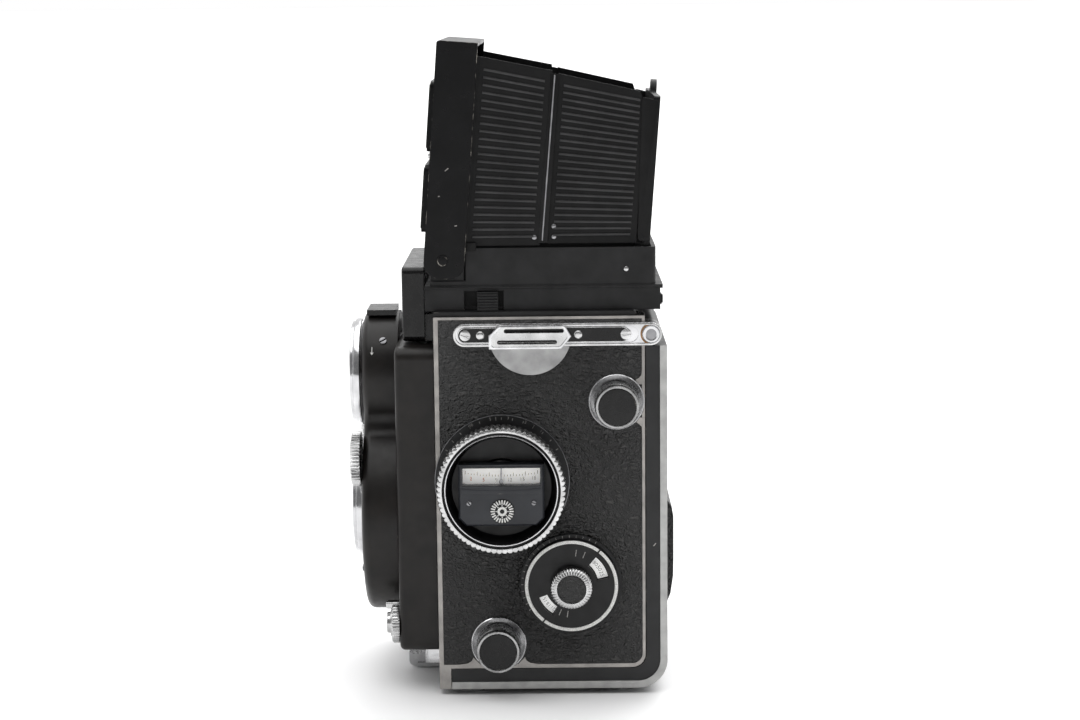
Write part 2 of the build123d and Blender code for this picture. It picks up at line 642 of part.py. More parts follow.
def front_fittings():
    with BuildPart() as shade:
        with BuildSketch(front(-51)):
            with Locations((0, 121.9)):
                Rectangle(16, 1.8)
            with Locations((0, VIEW_Z)):
                Circle(UPPER_LOBE_R + 0.02, mode=Mode.SUBTRACT)
        extrude(amount=9.6)
    save(shade, "readout_window")
    with BuildPart() as button:
        disc(front(-53.6), RELEASE, 3.6, 5.4)
        disc(front(-44), RELEASE, 2.0, 10)
        fillet(button.faces().sort_by(Axis.Y)[0].edges(), 0.8)
    save(button, "shutter_button")
    with BuildPart() as collar:
        disc(front(-50.3), RELEASE, 6.2, 3.8)
        disc(front(-50), RELEASE, 4.0, 6, Mode.SUBTRACT)
        with BuildSketch(front(-50.3)):
            with Locations((-29, 14.6)):
                Rectangle(3, 3)
        extrude(amount=3)
        disc(front(-50), RELEASE, 4.0, 6, Mode.SUBTRACT)
    save(collar, "release_lock")
    with BuildPart() as socket:
        disc(front(STANDARD[0]), SOCKET, 6.6, 2.6)
        box((28, 31), (STANDARD[0] - 4.6, STANDARD[0]), (27.0, 28.9))
        disc(front(STANDARD[0]), SOCKET, 3.4, 4.4)
        disc(front(STANDARD[0] - 1), SOCKET, 2.6, 6, Mode.SUBTRACT)
        disc(front(STANDARD[0]), SOCKET, 0.7, 3.6)
    save(socket, "flash_socket")
    with BuildPart() as cell:
        box((-29, 29), (-47.5, -40.3), (115.2, 139.5))
        fillet(cell.edges().filter_by(Axis.Y), 2.2)
        fillet(cell.faces().sort_by(Axis.Y)[0].edges(), 0.8)
        box((-27, 27), (-48, -44.5), (126.5, 137), Mode.SUBTRACT)
        box((-27, 27), (-40.3, FRONT), (115.2, 124.0))
    save(cell, "meter_cell_housing")
    with BuildPart() as window:
        box((-26.9, 26.9), (-47.2, -44.6), (126.6, 136.9))
        for x in range(-24, 25, 4):
            box((x - 0.4, x + 0.4), (-47.6, -46.6), (126, 138), Mode.SUBTRACT)
    save(window, "meter_cell_window")


# ---------------------------------------------------------------- waist-level hood

def leaned(y, z):
    """Plane facing +X, turned so that local y runs up the leaning hood walls."""
    return Plane(origin=(0, y, z), x_dir=(0, UP[2], -UP[1]), z_dir=(1, 0, 0))


def hood_base():
    inner = HOOD_HALF - 1.2
    with BuildPart() as base:
        box((-HOOD_HALF, HOOD_HALF), (HOOD_FRONT, HOOD_REAR), (HOOD_SEAT, HOOD_SPLIT))
        box((-HOOD_HALF, HOOD_HALF), (HOOD_FRONT, HOOD_REAR + 0.8), (HOOD_SPLIT - 1.2, HOOD_SPLIT))
        with BuildSketch(level(HOOD_SPLIT)):
            with Locations((0, (HOOD_FRONT + 34) / 2 + 0.8)):
                RectangleRounded(2 * HOOD_HALF - 1.0, 34 - HOOD_FRONT - 1.6, 1.5)
        extrude(amount=HOOD_WALL_TOP - HOOD_SPLIT)
        box((-inner, inner), (-37.8, 32.6), (HOOD_SEAT + 1.2, HOOD_WALL_TOP + 1), Mode.SUBTRACT)
        box((-29, 29), (-33, 22.5), (HOOD_SEAT - 1, HOOD_SEAT + 3), Mode.SUBTRACT)
        # room for the ends of the lid at the front
        box((-40, 40), (HOOD_FRONT - 1, -26.6), (135.5, HOOD_WALL_TOP + 1), Mode.SUBTRACT)
        for x in (inner - 1.6, -inner):
            box((x, x + 1.6), (-37.8, -27.2), (127, 145.5))
        for x in (-26, 22):
            box((x, x + 4), (HOOD_REAR, HOOD_REAR + 0.9), (HOOD_SEAT + 0.4, HOOD_SEAT + 3.6))
        disc(side(-40), LID_AXIS, 1.2, 80, Mode.SUBTRACT)
        for x in (HOOD_HALF - 1.6, -HOOD_HALF - 0.1):
            box((x, x + 1.7), (-27.2, -14.6), (HOOD_SEAT - 0.1, 132.4), Mode.SUBTRACT)
    save(base, "hood_base")


def lock_slider():
    with BuildPart() as slider:
        box((HOOD_HALF - 1.4, HOOD_HALF + 1.4), (-23.0, -16.3), (HOOD_SEAT + 0.1, 132.2))
        for count in range(6):
            z = 127.0 + count * 0.9
            box((HOOD_HALF + 0.9, HOOD_HALF + 2), (-24, -16), (z, z + 0.4), Mode.SUBTRACT)
    both_sides(slider, "hood_locks")


def hood_lid():
    """Channel-shaped lid with rounded lower ends, standing open and leaning back."""
    plane = leaned(*LID_AXIS)
    with BuildPart() as lid:
        with BuildSketch(plane.offset(-LID_HALF)):
            with Locations((0.5, 0)):
                RectangleRounded(FLANGE, 11.6, 5.0)
            with Locations((0.5, LID_LENGTH / 2)):
                Rectangle(FLANGE, LID_LENGTH)
        extrude(amount=2 * LID_HALF)
        with BuildSketch(plane.offset(1.0 - LID_HALF)):
            with Locations((6.0, LID_LENGTH / 2 - 10)):
                Rectangle(22, LID_LENGTH + 18)
        extrude(amount=2 * LID_HALF - 2, mode=Mode.SUBTRACT)
        disc(plane.offset(-40), (0, 0), 1.15, 80, Mode.SUBTRACT)
        fillet(lid.edges().filter_by(Axis.X).group_by(Axis.Z)[-1], 0.9)
        # opening of the sports finder, and the raised plate under it
        face = Plane(plane.origin, x_dir=(1, 0, 0), z_dir=-plane.x_dir)
        with BuildSketch(face):
            with Locations((0, FLAP_TOP - FLAP_HEIGHT / 2)):
                Rectangle(2 * FLAP_HALF + 1, FLAP_HEIGHT + 1.2)
        extrude(amount=8, mode=Mode.SUBTRACT)
        with BuildSketch(face.offset(LID_FACE)):
            with Locations((0, 18.5)):
                RectangleRounded(56, 21.6, 2)
        extrude(amount=1.8)
    save(lid, "hood_lid")


def finder_flap():
    plane = leaned(*LID_AXIS)
    face = Plane(plane.origin, x_dir=(1, 0, 0), z_dir=-plane.x_dir)
    with BuildPart() as flap:
        with BuildSketch(face.offset(LID_FACE - 1)):
            with Locations((0, FLAP_TOP - FLAP_HEIGHT / 2)):
                Rectangle(2 * FLAP_HALF, FLAP_HEIGHT)
        extrude(amount=1.0)
        with BuildSketch(face.offset(LID_FACE)):
            with Locations((0, FLAP_TOP - FLAP_HEIGHT / 2)):
                RectangleRounded(2 * FLAP_HALF - 2, FLAP_HEIGHT - 2.4, 2)
        extrude(amount=1.8)
        for x in (-FLAP_HALF + 0.5, FLAP_HALF - 3.5):
            disc(plane.offset(x), (-4.2, FLAP_TOP - 0.4), 0.9, 3)
    save(flap, "finder_flap")
    with BuildPart() as frame:
        with BuildSketch(face.offset(-0.2)):
            with Locations((0, FLAP_TOP - 2 - LOUPE_HEIGHT / 2)):
                RectangleRounded(30, LOUPE_HEIGHT, 3)
                Circle(12.2, mode=Mode.SUBTRACT)
        extrude(amount=3.6)
        disc(plane.offset(-12), (-2.2, FLAP_TOP - 1.6), 1.2, 24)
    save(frame, "magnifier_frame")
    with BuildPart() as glass:
        with BuildSketch(face.offset(0.2)):
            with Locations((0, FLAP_TOP - 2 - LOUPE_HEIGHT / 2)):
                Circle(12.1)
        extrude(amount=2.8)
    save(glass, "magnifier_lens")


def ribbed_leaf(name, x, outline, hinge, ribs):
    """Thin wall with a hinge barrel on one edge and ribs that fan from level to its top slope."""
    count, length, low, high = ribs
    with BuildPart() as leaf:
        slab(side(x - LEAF / 2), outline, LEAF)
        for index in range(count):
            share = index / (count - 1)
            y = low[0] + share * (high[0] - low[0])
            z = low[1] + share * (high[1] - low[1])
            tilt = share * TOP_SLOPE
            with BuildSketch(Plane(origin=(x + LEAF / 2, y, z),
                                   x_dir=(0, cos(tilt), sin(tilt)), z_dir=(1, 0, 0))):
                SlotOverall(length, 1.0)
            extrude(amount=0.3)
        with BuildSketch(Plane(origin=(x, hinge[0], hinge[1]), x_dir=(1, 0, 0), z_dir=UP)):
            Circle(0.5)
        extrude(amount=hinge[2])
    save(leaf, name + "_left")
    mirrored(leaf, name + "_right")


def hood_walls():
    front_outline = [(-26.4, 146.6), (-3.0, 146.6), (1.7, 201.8), (-21.9, 206.6)]
    ribbed_leaf("front_leaf", FRONT_LEAF_X, front_outline, (-26.4, 146.6, 59.5),
                (23, 19.5, (-14.6, 149.5), (-10.3, 200.4)))
    rear_outline = [(-0.7, 147.0), (27.6, 147.0), (31.0, 190.5), (29.4, 195.0), (3.6, 200.9)]
    ribbed_leaf("rear_leaf", REAR_LEAF_X, rear_outline, (27.6, 147.0, 43.0),
                (23, 24.6, (13.7, 149.8), (17.3, 194.6)))
    up = leaned(*BACK_AXIS)
    with BuildPart() as back:
        with BuildSketch(Plane(up.origin, x_dir=(1, 0, 0), z_dir=-up.x_dir)) as sheet:
            with Locations((0, 28.4)):
                Rectangle(64.4, 54.4)
            with Locations((0, 55.2)):
                Circle(4.6)
            fillet(sheet.vertices().group_by(Axis.Y)[-1], 1.0)
        extrude(amount=1.0, both=True)
        for x in (-28, -6, 16):
            disc(up.offset(x), (0, 0), 1.1, 12)
        disc(up.offset(-40), (0, 0), 0.55, 80, Mode.SUBTRACT)
    save(back, "hood_back")


body_casting()
side_skin()
strap_fittings()
top_plate()
optics()
film_parts()
back_door()
underside()
hinge_pins()
spool_knobs()
focus_knob()
speed_dial()
crank_side()
lens_standard()
bayonet_rings()
lenses()
shutter()
thumb_wheels()
front_fittings()
hood_base()
lock_slider()
hood_lid()
finder_flap()
hood_walls()
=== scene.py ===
from math import atan2, cos, pi, radians, sin, sqrt, tau

import bmesh
import bpy
from mathutils import Matrix, Vector


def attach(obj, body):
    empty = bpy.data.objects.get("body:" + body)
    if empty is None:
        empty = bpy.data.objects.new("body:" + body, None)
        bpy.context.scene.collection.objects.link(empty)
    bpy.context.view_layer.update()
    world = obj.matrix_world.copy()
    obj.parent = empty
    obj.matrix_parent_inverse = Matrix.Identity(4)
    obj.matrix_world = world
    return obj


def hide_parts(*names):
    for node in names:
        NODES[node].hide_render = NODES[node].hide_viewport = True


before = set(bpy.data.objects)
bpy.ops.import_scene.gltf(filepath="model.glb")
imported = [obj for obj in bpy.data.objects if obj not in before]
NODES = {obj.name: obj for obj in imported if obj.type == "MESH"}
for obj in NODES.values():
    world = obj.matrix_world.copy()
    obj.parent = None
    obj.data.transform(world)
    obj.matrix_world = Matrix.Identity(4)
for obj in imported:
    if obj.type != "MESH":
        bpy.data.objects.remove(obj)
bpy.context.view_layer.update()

MM = 0.001


# ------------------------------------------------------------------ camera

CAMERA_PLACE = (0.7294, 0.0006, 0.2241)
CAMERA_TIP, CAMERA_SWING, CAMERA_ROLL = 9.338, 0.313, -0.62
LENS_LENGTH = 73.24
SENSOR_WIDTH = 36.0


def add_camera():
    """Camera facing the photographer's-left side, a little above it and tipped down."""
    pitch, yaw, roll = (radians(a) for a in (CAMERA_TIP, CAMERA_SWING, CAMERA_ROLL))
    ahead = Vector((-cos(pitch) * cos(yaw), -cos(pitch) * sin(yaw), -sin(pitch)))
    right = ahead.cross(Vector((0, 0, 1))).normalized()
    up = right.cross(ahead)
    across = cos(roll) * right + sin(roll) * up
    above = -sin(roll) * right + cos(roll) * up
    data = bpy.data.cameras.new("camera")
    data.lens = LENS_LENGTH
    data.sensor_width = SENSOR_WIDTH
    camera = bpy.data.objects.new("camera", data)
    turn = Matrix((across, above, -ahead)).transposed().to_4x4()
    camera.matrix_world = Matrix.Translation(CAMERA_PLACE) @ turn
    bpy.context.scene.collection.objects.link(camera)
    bpy.context.scene.camera = camera


add_camera()


# ------------------------------------------------------------------ materials

class Shader:
    """A node material made of millimetre noises mixed into one Principled shader."""

    def __init__(self, name, **constants):
        self.material = bpy.data.materials.new(name)
        self.material.use_nodes = True
        self.tree = self.material.node_tree
        self.bsdf = self.tree.nodes["Principled BSDF"]
        for key, value in constants.items():
            self.bsdf.inputs[key.replace("_", " ")].default_value = value
        coordinates = self.node("ShaderNodeTexCoord")
        scale = self.node("ShaderNodeVectorMath", operation="SCALE")
        scale.inputs["Scale"].default_value = 1000.0
        self.link(coordinates.outputs["Object"], scale.inputs[0])
        self.mm = scale.outputs[0]
        self.normal = None

    def node(self, kind, **settings):
        made = self.tree.nodes.new(kind)
        for key, value in settings.items():
            setattr(made, key, value)
        return made

    def link(self, source, target):
        self.tree.links.new(source, target)

    def stretched(self, factors):
        made = self.node("ShaderNodeVectorMath", operation="MULTIPLY")
        made.inputs[1].default_value = factors
        self.link(self.mm, made.inputs[0])
        return made.outputs[0]

    def noise(self, scale, detail=3.0, vector=None, distortion=0.0):
        made = self.node("ShaderNodeTexNoise")
        made.inputs["Scale"].default_value = scale
        made.inputs["Detail"].default_value = detail
        made.inputs["Distortion"].default_value = distortion
        self.link(vector or self.mm, made.inputs["Vector"])
        return made.outputs["Fac"]

    def cells(self, scale, vector=None, feature="DISTANCE_TO_EDGE"):
        made = self.node("ShaderNodeTexVoronoi", feature=feature)
        made.inputs["Scale"].default_value = scale
        self.link(vector or self.mm, made.inputs["Vector"])
        return made.outputs["Distance"]

    def ranged(self, source, low, high, out_low=0.0, out_high=1.0):
        made = self.node("ShaderNodeMapRange", clamp=True)
        for key, value in zip(("From Min", "From Max", "To Min", "To Max"),
                              (low, high, out_low, out_high)):
            made.inputs[key].default_value = value
        self.link(source, made.inputs["Value"])
        return made.outputs["Result"]

    def maths(self, operation, first, second):
        made = self.node("ShaderNodeMath", operation=operation)
        for socket, value in zip(made.inputs, (first, second)):
            if isinstance(value, (int, float)):
                socket.default_value = value
            else:
                self.link(value, socket)
        return made.outputs[0]

    def mixed(self, share, first, second):
        made = self.node("ShaderNodeMix", data_type="RGBA")
        self.link(share, made.inputs["Factor"])
        for socket, value in ((made.inputs[6], first), (made.inputs[7], second)):
            if isinstance(value, tuple):
                socket.default_value = (*value, 1.0)
            else:
                self.link(value, socket)
        return made.outputs[2]

    def edges(self, radius, low=0.002, high=0.06):
        """Mask that is 1 where the surface bends sharply within this radius."""
        bevel = self.node("ShaderNodeBevel", samples=4)
        bevel.inputs["Radius"].default_value = radius * MM
        geometry = self.node("ShaderNodeNewGeometry")
        dot = self.node("ShaderNodeVectorMath", operation="DOT_PRODUCT")
        self.link(bevel.outputs["Normal"], dot.inputs[0])
        self.link(geometry.outputs["Normal"], dot.inputs[1])
        bend = self.maths("SUBTRACT", 1.0, dot.outputs["Value"])
        return self.ranged(bend, low, high)

    def rounded(self, radius):
        """Soften every sharp edge in the shading by this radius."""
        bevel = self.node("ShaderNodeBevel", samples=4)
        bevel.inputs["Radius"].default_value = radius * MM
        self.normal = bevel.outputs["Normal"]
        return self

    def bump(self, height, strength, depth):
        made = self.node("ShaderNodeBump")
        made.inputs["Strength"].default_value = strength
        made.inputs["Distance"].default_value = depth * MM
        self.link(height, made.inputs["Height"])
        if self.normal:
            self.link(self.normal, made.inputs["Normal"])
        self.normal = made.outputs["Normal"]

    def finish(self, colour, roughness, metallic=None):
        self.link(colour, self.bsdf.inputs["Base Color"])
        self.link(roughness, self.bsdf.inputs["Roughness"])
        if metallic:
            self.link(metallic, self.bsdf.inputs["Metallic"])
        if self.normal:
            self.link(self.normal, self.bsdf.inputs["Normal"])
        return self.material


def enamel(name, dark, light, rough, wear, metal=(0.5, 0.47, 0.42), grain=6.0, depth=0.012,
           level=0.4, round_by=0.25):
    """Baked paint with faint orange peel, dust, and bright metal where edges have rubbed."""
    shader = Shader(name, Specular_IOR_Level=level).rounded(round_by)
    cloud = shader.noise(0.12, 4.0)
    worn = shader.maths("MULTIPLY", shader.edges(0.35),
                        shader.ranged(shader.noise(0.35, 6.0), wear[0], wear[1]))
    colour = shader.mixed(shader.ranged(cloud, 0.35, 0.7), dark, light)
    colour = shader.mixed(worn, colour, metal)
    shader.bump(shader.noise(grain, 2.0), 0.35, depth)
    smears = shader.ranged(shader.noise(0.3, 5.0), 0.3, 0.7, rough[0], rough[1])
    return shader.finish(colour, smears, worn)


def leather(name):
    """Pressed coarse grain: flattened pebbles in long wandering furrows, lighter on the high tops
    of the grain, partly as wear and partly as painted sheen.
    """
    shader = Shader(name, Specular_IOR_Level=0.7)
    warp = shader.node("ShaderNodeTexNoise")
    warp.inputs["Scale"].default_value = 0.55
    warp.inputs["Detail"].default_value = 3.0
    shader.link(shader.mm, warp.inputs["Vector"])
    swing = shader.node("ShaderNodeVectorMath", operation="MULTIPLY_ADD")
    swing.inputs[1].default_value = (2.6, 2.6, 2.6)
    shader.link(warp.outputs["Color"], swing.inputs[0])
    shader.link(shader.stretched((0.42, 0.42, 1.0)), swing.inputs[2])
    pebble = shader.ranged(shader.cells(0.75, swing.outputs[0]), 0.0, 0.4)
    pores = shader.noise(2.4, 4.0, swing.outputs[0])
    height = shader.maths("ADD", pebble, shader.maths("MULTIPLY", pores, 0.6))
    shader.bump(height, 1.0, 0.6)
    # Lighter colour on the high tops of the grain: partly wear, partly painted sheen where light
    # catches the pebbles.
    top = shader.maths("MULTIPLY", shader.ranged(height, 0.75, 1.35), shader.noise(0.25, 4.0))
    colour = shader.mixed(top, (0.0014, 0.0013, 0.0012), (0.048, 0.045, 0.042))
    rough = shader.ranged(shader.noise(0.5, 5.0), 0.3, 0.7, 0.28, 0.46)
    return shader.finish(colour, rough)


def metal(name, dark, light, rough, scratch=(1.0, 1.0, 1.0), depth=0.003, round_by=0.15):
    """Bare metal with clouded polish and fine scratches along one direction."""
    shader = Shader(name, Metallic=1.0).rounded(round_by)
    colour = shader.mixed(shader.ranged(shader.noise(0.25, 4.0), 0.3, 0.7), dark, light)
    lines = shader.noise(5.0, 3.0, shader.stretched(scratch))
    shader.bump(lines, 0.4, depth)
    smears = shader.ranged(shader.noise(0.5, 5.0), 0.3, 0.75, rough[0], rough[1])
    return shader.finish(colour, smears)


def paint_mark(name, dark, light, painted_glow=0.0):
    """Thin filled engraving paint, slightly worn. A glow above nought makes the paint give off
    light by itself: painted light, not a lamp.
    """
    shader = Shader(name, Specular_IOR_Level=0.3, Emission_Strength=painted_glow)
    colour = shader.mixed(shader.ranged(shader.noise(2.5, 4.0), 0.3, 0.65), dark, light)
    shader.bump(shader.noise(9.0, 2.0), 0.3, 0.01)
    return shader.finish(colour, shader.ranged(shader.noise(3.0), 0.3, 0.7, 0.4, 0.6))


def clear(name, tint_low, tint_high, film=0.0, alpha=1.0):
    """Glass with a faint film of dust, and a thin coating that colours its reflection."""
    shader = Shader(name, Transmission_Weight=1.0, IOR=1.52, Thin_Film_Thickness=film,
                    Thin_Film_IOR=1.38, Alpha=alpha)
    colour = shader.mixed(shader.noise(0.15, 3.0), tint_low, tint_high)
    shader.bump(shader.noise(0.8, 2.0), 0.1, 0.002)
    return shader.finish(colour, shader.ranged(shader.noise(1.5, 4.0), 0.4, 0.8, 0.01, 0.06))


BLACK = enamel("black_enamel_paint", (0.003, 0.003, 0.0033), (0.006, 0.0058, 0.0058),
               (0.2, 0.34), (0.58, 0.75), level=0.3)
LID_BLACK = enamel("lid_enamel_paint", (0.0022, 0.0022, 0.0025), (0.0045, 0.0045, 0.005),
                   (0.26, 0.38), (0.52, 0.68), level=0.16, round_by=0.6)
STANDARD_BLACK = enamel("standard_enamel_paint", (0.007, 0.006, 0.0056), (0.013, 0.011, 0.0098),
                        (0.3, 0.42), (0.6, 0.78), level=0.28)
DOOR_BLACK = enamel("door_enamel_paint", (0.008, 0.008, 0.0086), (0.014, 0.014, 0.0148),
                    (0.38, 0.5), (0.62, 0.8))
GREY = enamel("grey_enamel_paint", (0.0085, 0.0085, 0.0088), (0.015, 0.015, 0.0156),
              (0.42, 0.58), (0.68, 0.84), grain=4.0, depth=0.04, level=0.26)
LEAF_GREY = enamel("leaf_enamel_paint", (0.0032, 0.0032, 0.0034), (0.006, 0.006, 0.0063),
                   (0.34, 0.48), (0.85, 0.97), grain=5.0, depth=0.02, level=0.2)
# The leaf paint made several times lighter for the ribs: painted sheen where light catches the rib
# tops.
LEAF_RIB_PAINTED_SHEEN = enamel("leaf_rib_painted_sheen", (0.016, 0.016, 0.0165), (0.034, 0.034, 0.035),
                  (0.3, 0.42), (0.85, 0.97), level=0.4)
INNER = enamel("inner_matte_paint", (0.008, 0.008, 0.008), (0.013, 0.013, 0.013),
               (0.6, 0.8), (0.8, 0.95), level=0.2)
PLASTIC = enamel("black_moulded_plastic", (0.004, 0.004, 0.0043), (0.0085, 0.0085, 0.009),
                 (0.28, 0.44), (0.9, 0.99), level=0.28)
SLATE = enamel("slate_enamel_paint", (0.012, 0.0135, 0.017), (0.02, 0.022, 0.027),
               (0.3, 0.42), (0.62, 0.8))
LEATHER = leather("coarse_black_leather")
CHROME = metal("polished_chrome", (0.5, 0.5, 0.51), (0.68, 0.68, 0.69), (0.1, 0.22))
CHROME_FACE = metal("rubbed_chrome", (0.42, 0.42, 0.42), (0.66, 0.66, 0.66), (0.16, 0.32))
KNURLED = metal("knurled_chrome", (0.2, 0.2, 0.2), (0.42, 0.42, 0.42), (0.2, 0.36))
SATIN = metal("satin_aluminium", (0.32, 0.32, 0.315), (0.46, 0.46, 0.45), (0.34, 0.48),
              depth=0.006)
BRUSHED = metal("brushed_aluminium", (0.26, 0.26, 0.26), (0.42, 0.42, 0.42), (0.36, 0.52),
                scratch=(0.15, 0.15, 3.0), depth=0.02)
TRIM = metal("dull_silver_trim", (0.26, 0.25, 0.24), (0.42, 0.4, 0.38), (0.38, 0.55),
             depth=0.01)
STEEL = metal("blued_steel", (0.2, 0.2, 0.21), (0.36, 0.36, 0.37), (0.3, 0.45))
BRASS = metal("bared_brass", (0.2, 0.11, 0.05), (0.36, 0.22, 0.12), (0.35, 0.55), depth=0.02)
MIRROR = metal("silvered_mirror", (0.8, 0.8, 0.8), (0.86, 0.86, 0.86), (0.02, 0.06),
               depth=0.0005)
WHITE = paint_mark("white_paint_fill", (0.5, 0.5, 0.48), (0.8, 0.8, 0.78))
DULL_WHITE = paint_mark("dull_white_paint_fill", (0.14, 0.135, 0.13), (0.34, 0.33, 0.32))
# Cream card paint that glows by itself: painted light that brightens the meter scale, not a lamp.
CREAM_PAINTED_GLOW = paint_mark("meter_scale_card_painted_glow", (0.82, 0.79, 0.72), (0.95, 0.93, 0.9), painted_glow=0.22)
# White scale paint that glows by itself: painted light that lifts the dial windows out of their
# shade.
WHITE_PAINTED_GLOW = paint_mark("white_scale_enamel_painted_glow", (0.8, 0.8, 0.78), (0.94, 0.94, 0.92), painted_glow=0.3)
RED = paint_mark("red_paint_fill", (0.35, 0.05, 0.02), (0.55, 0.12, 0.05))
GLASS = clear("coated_lens_glass", (0.86, 0.9, 1.0), (0.93, 0.95, 1.0), 420.0)
WINDOW = clear("window_glass", (0.92, 0.95, 0.95), (0.98, 0.98, 0.98), alpha=0.22)
SCREEN = paint_mark("ground_glass", (0.3, 0.32, 0.32), (0.42, 0.44, 0.44))

NODE_MATERIALS = {
    BLACK: "body_casting meter_cell_housing readout_window magnifier_frame lens_barrels",
    LID_BLACK: "hood_lid finder_flap",
    STANDARD_BLACK: "lens_standard lens_plate",
    DOOR_BLACK: "back_door focus_scale_ring",
    SLATE: "meter_housing",
    GREY: "top_plate hood_base",
    LEAF_GREY: "front_leaf_left front_leaf_right rear_leaf_left rear_leaf_right hood_back",
    PLASTIC: "supply_spool takeup_spool speed_dial_cover hood_locks",
    LEATHER: "side_leather back_leather",
    CHROME: "strap_plates knob_dishes bayonet_rings aperture_wheel shutter_wheel "
            "shutter_button release_lock flash_socket door_latch supply_knob "
            "takeup_knob focus_ring crank_grip feet",
    CHROME_FACE: "strap_lugs strap_plate_screws film_crank crank_boss speed_dial_knob",
    BRUSHED: "rub_plates tripod_bush",
    SATIN: "back_rim",
    TRIM: "side_trims",
    STEEL: "hinge_pins film_rollers pressure_plate latch_pin shutter_case meter_needle",
    MIRROR: "reflex_mirror",
    GLASS: "lens_glasses magnifier_lens",
    WINDOW: "meter_window meter_cell_window",
    SCREEN: "focusing_screen",
}


def dress_nodes():
    """Give every CAD node the material that its name is listed under."""
    for material, names in NODE_MATERIALS.items():
        for name in names.split():
            node = NODES[name]
            if not node.material_slots:
                node.data.materials.append(material)
            for slot in node.material_slots:
                slot.material = material


dress_nodes()


# ------------------------------------------------------------------ building blocks

def place(origin, x_dir, normal):
    """Matrix from a flat millimetre drawing to the row frame, in metres."""
    normal = Vector(normal).normalized()
    x_dir = Vector(x_dir).normalized()
    y_dir = normal.cross(x_dir)
    turn = Matrix((x_dir, y_dir, normal)).transposed().to_4x4()
    return Matrix.Translation(Vector(origin) * MM) @ turn @ Matrix.Scale(MM, 4)


def left(x, y=0.0, z=0.0):
    """Drawing on the +X side: across is +Y, up is +Z."""
    return place((x, y, z), (0, 1, 0), (1, 0, 0))


def right(x, y=0.0, z=0.0):
    """Drawing on the -X side, seen from outside: across is -Y."""
    return place((-x, y, z), (0, -1, 0), (-1, 0, 0))


def front(y, x=0.0, z=0.0):
    return place((x, y, z), (1, 0, 0), (0, -1, 0))


def top(z, x=0.0, y=0.0):
    return place((x, y, z), (1, 0, 0), (0, 0, 1))


LEAN = radians(4.4)
LID_AXIS = (-33.8, 142.3)
RISE = Vector((0, sin(LEAN), cos(LEAN)))
AHEAD = Vector((0, -cos(LEAN), sin(LEAN)))


def on_lid(depth, x=0.0, height=0.0):
    """Drawing on the front of the open lid, measured up from its hinge line."""
    origin = Vector((x, *LID_AXIS)) + height * RISE + depth * AHEAD
    return place(origin, (1, 0, 0), AHEAD)


def settle(name, mesh, body, material, smooth=True):
    """Make the object, colour it, and hang it on its body."""
    piece = bpy.data.objects.new(name, mesh)
    bpy.context.scene.collection.objects.link(piece)
    mesh.materials.clear()
    mesh.materials.append(material)
    if smooth:
        mesh.shade_smooth()
        mesh.set_sharp_from_angle(angle=radians(35))
    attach(piece, body)
    return piece


def lathe(name, where, profile, body, material, steps=96, ripple=None, closed=False):
    """Turn a profile of (radius, height) pairs; ripple(row, angle) adds to a row's radius."""
    bm = bmesh.new()
    spots = where if isinstance(where, list) else [where]
    for spot in spots:
        rows = []
        for index, (radius, height) in enumerate(profile):
            if radius == 0:
                rows.append([bm.verts.new(spot @ Vector((0, 0, height)))] * steps)
                continue
            row = []
            for step in range(steps):
                angle = tau * step / steps
                out = radius + (ripple(index, angle) if ripple else 0.0)
                row.append(bm.verts.new(spot @ Vector((out * cos(angle), out * sin(angle),
                                                       height))))
            rows.append(row)
        pairs = list(zip(rows, rows[1:])) + ([(rows[-1], rows[0])] if closed else [])
        for low, high in pairs:
            for step in range(steps):
                after = (step + 1) % steps
                corners = [low[step], low[after], high[after], high[step]]
                corners = list(dict.fromkeys(corners))
                if len(corners) > 2:
                    bm.faces.new(corners)
    bmesh.ops.recalc_face_normals(bm, faces=bm.faces)
    mesh = bpy.data.meshes.new(name)
    bm.to_mesh(mesh)
    bm.free()
    return settle(name, mesh, body, material)


def sheet(name, layers, body, material, bevel=0.0):
    """Flat plates with holes and rounded rims. Each layer is (place, loops, thickness)."""
    bm = bmesh.new()
    for where, loops, thickness in layers:
        curve = bpy.data.curves.new(name, "CURVE")
        curve.dimensions = "2D"
        curve.fill_mode = "BOTH"
        curve.extrude = thickness / 2 - bevel
        curve.bevel_depth = bevel
        curve.bevel_resolution = 2
        curve.offset = -bevel
        for loop in loops:
            spline = curve.splines.new("POLY")
            spline.points.add(len(loop) - 1)
            for point, (x, y) in zip(spline.points, loop):
                point.co = (x, y, 0, 1)
            spline.use_cyclic_u = True
        holder = bpy.data.objects.new(name, curve)
        mesh = bpy.data.meshes.new_from_object(holder)
        mesh.transform(where @ Matrix.Translation((0, 0, thickness / 2)))
        bm.from_mesh(mesh)
        bpy.data.objects.remove(holder)
        bpy.data.curves.remove(curve)
        bpy.data.meshes.remove(mesh)
    bmesh.ops.remove_doubles(bm, verts=bm.verts, dist=1e-7)
    bmesh.ops.recalc_face_normals(bm, faces=bm.faces)
    mesh = bpy.data.meshes.new(name)
    bm.to_mesh(mesh)
    bm.free()
    return settle(name, mesh, body, material)


def wire(name, lines, radius, body, material, cyclic=False):
    """Round beads that follow lines of millimetre points."""
    curve = bpy.data.curves.new(name, "CURVE")
    curve.dimensions = "3D"
    curve.bevel_depth = radius * MM
    curve.bevel_resolution = 3
    curve.use_fill_caps = not cyclic
    for line in lines:
        spline = curve.splines.new("POLY")
        spline.points.add(len(line) - 1)
        for point, spot in zip(spline.points, line):
            point.co = (*(Vector(spot) * MM), 1)
        spline.use_cyclic_u = cyclic
    holder = bpy.data.objects.new(name, curve)
    mesh = bpy.data.meshes.new_from_object(holder)
    bpy.data.objects.remove(holder)
    return settle(name, mesh, body, material)


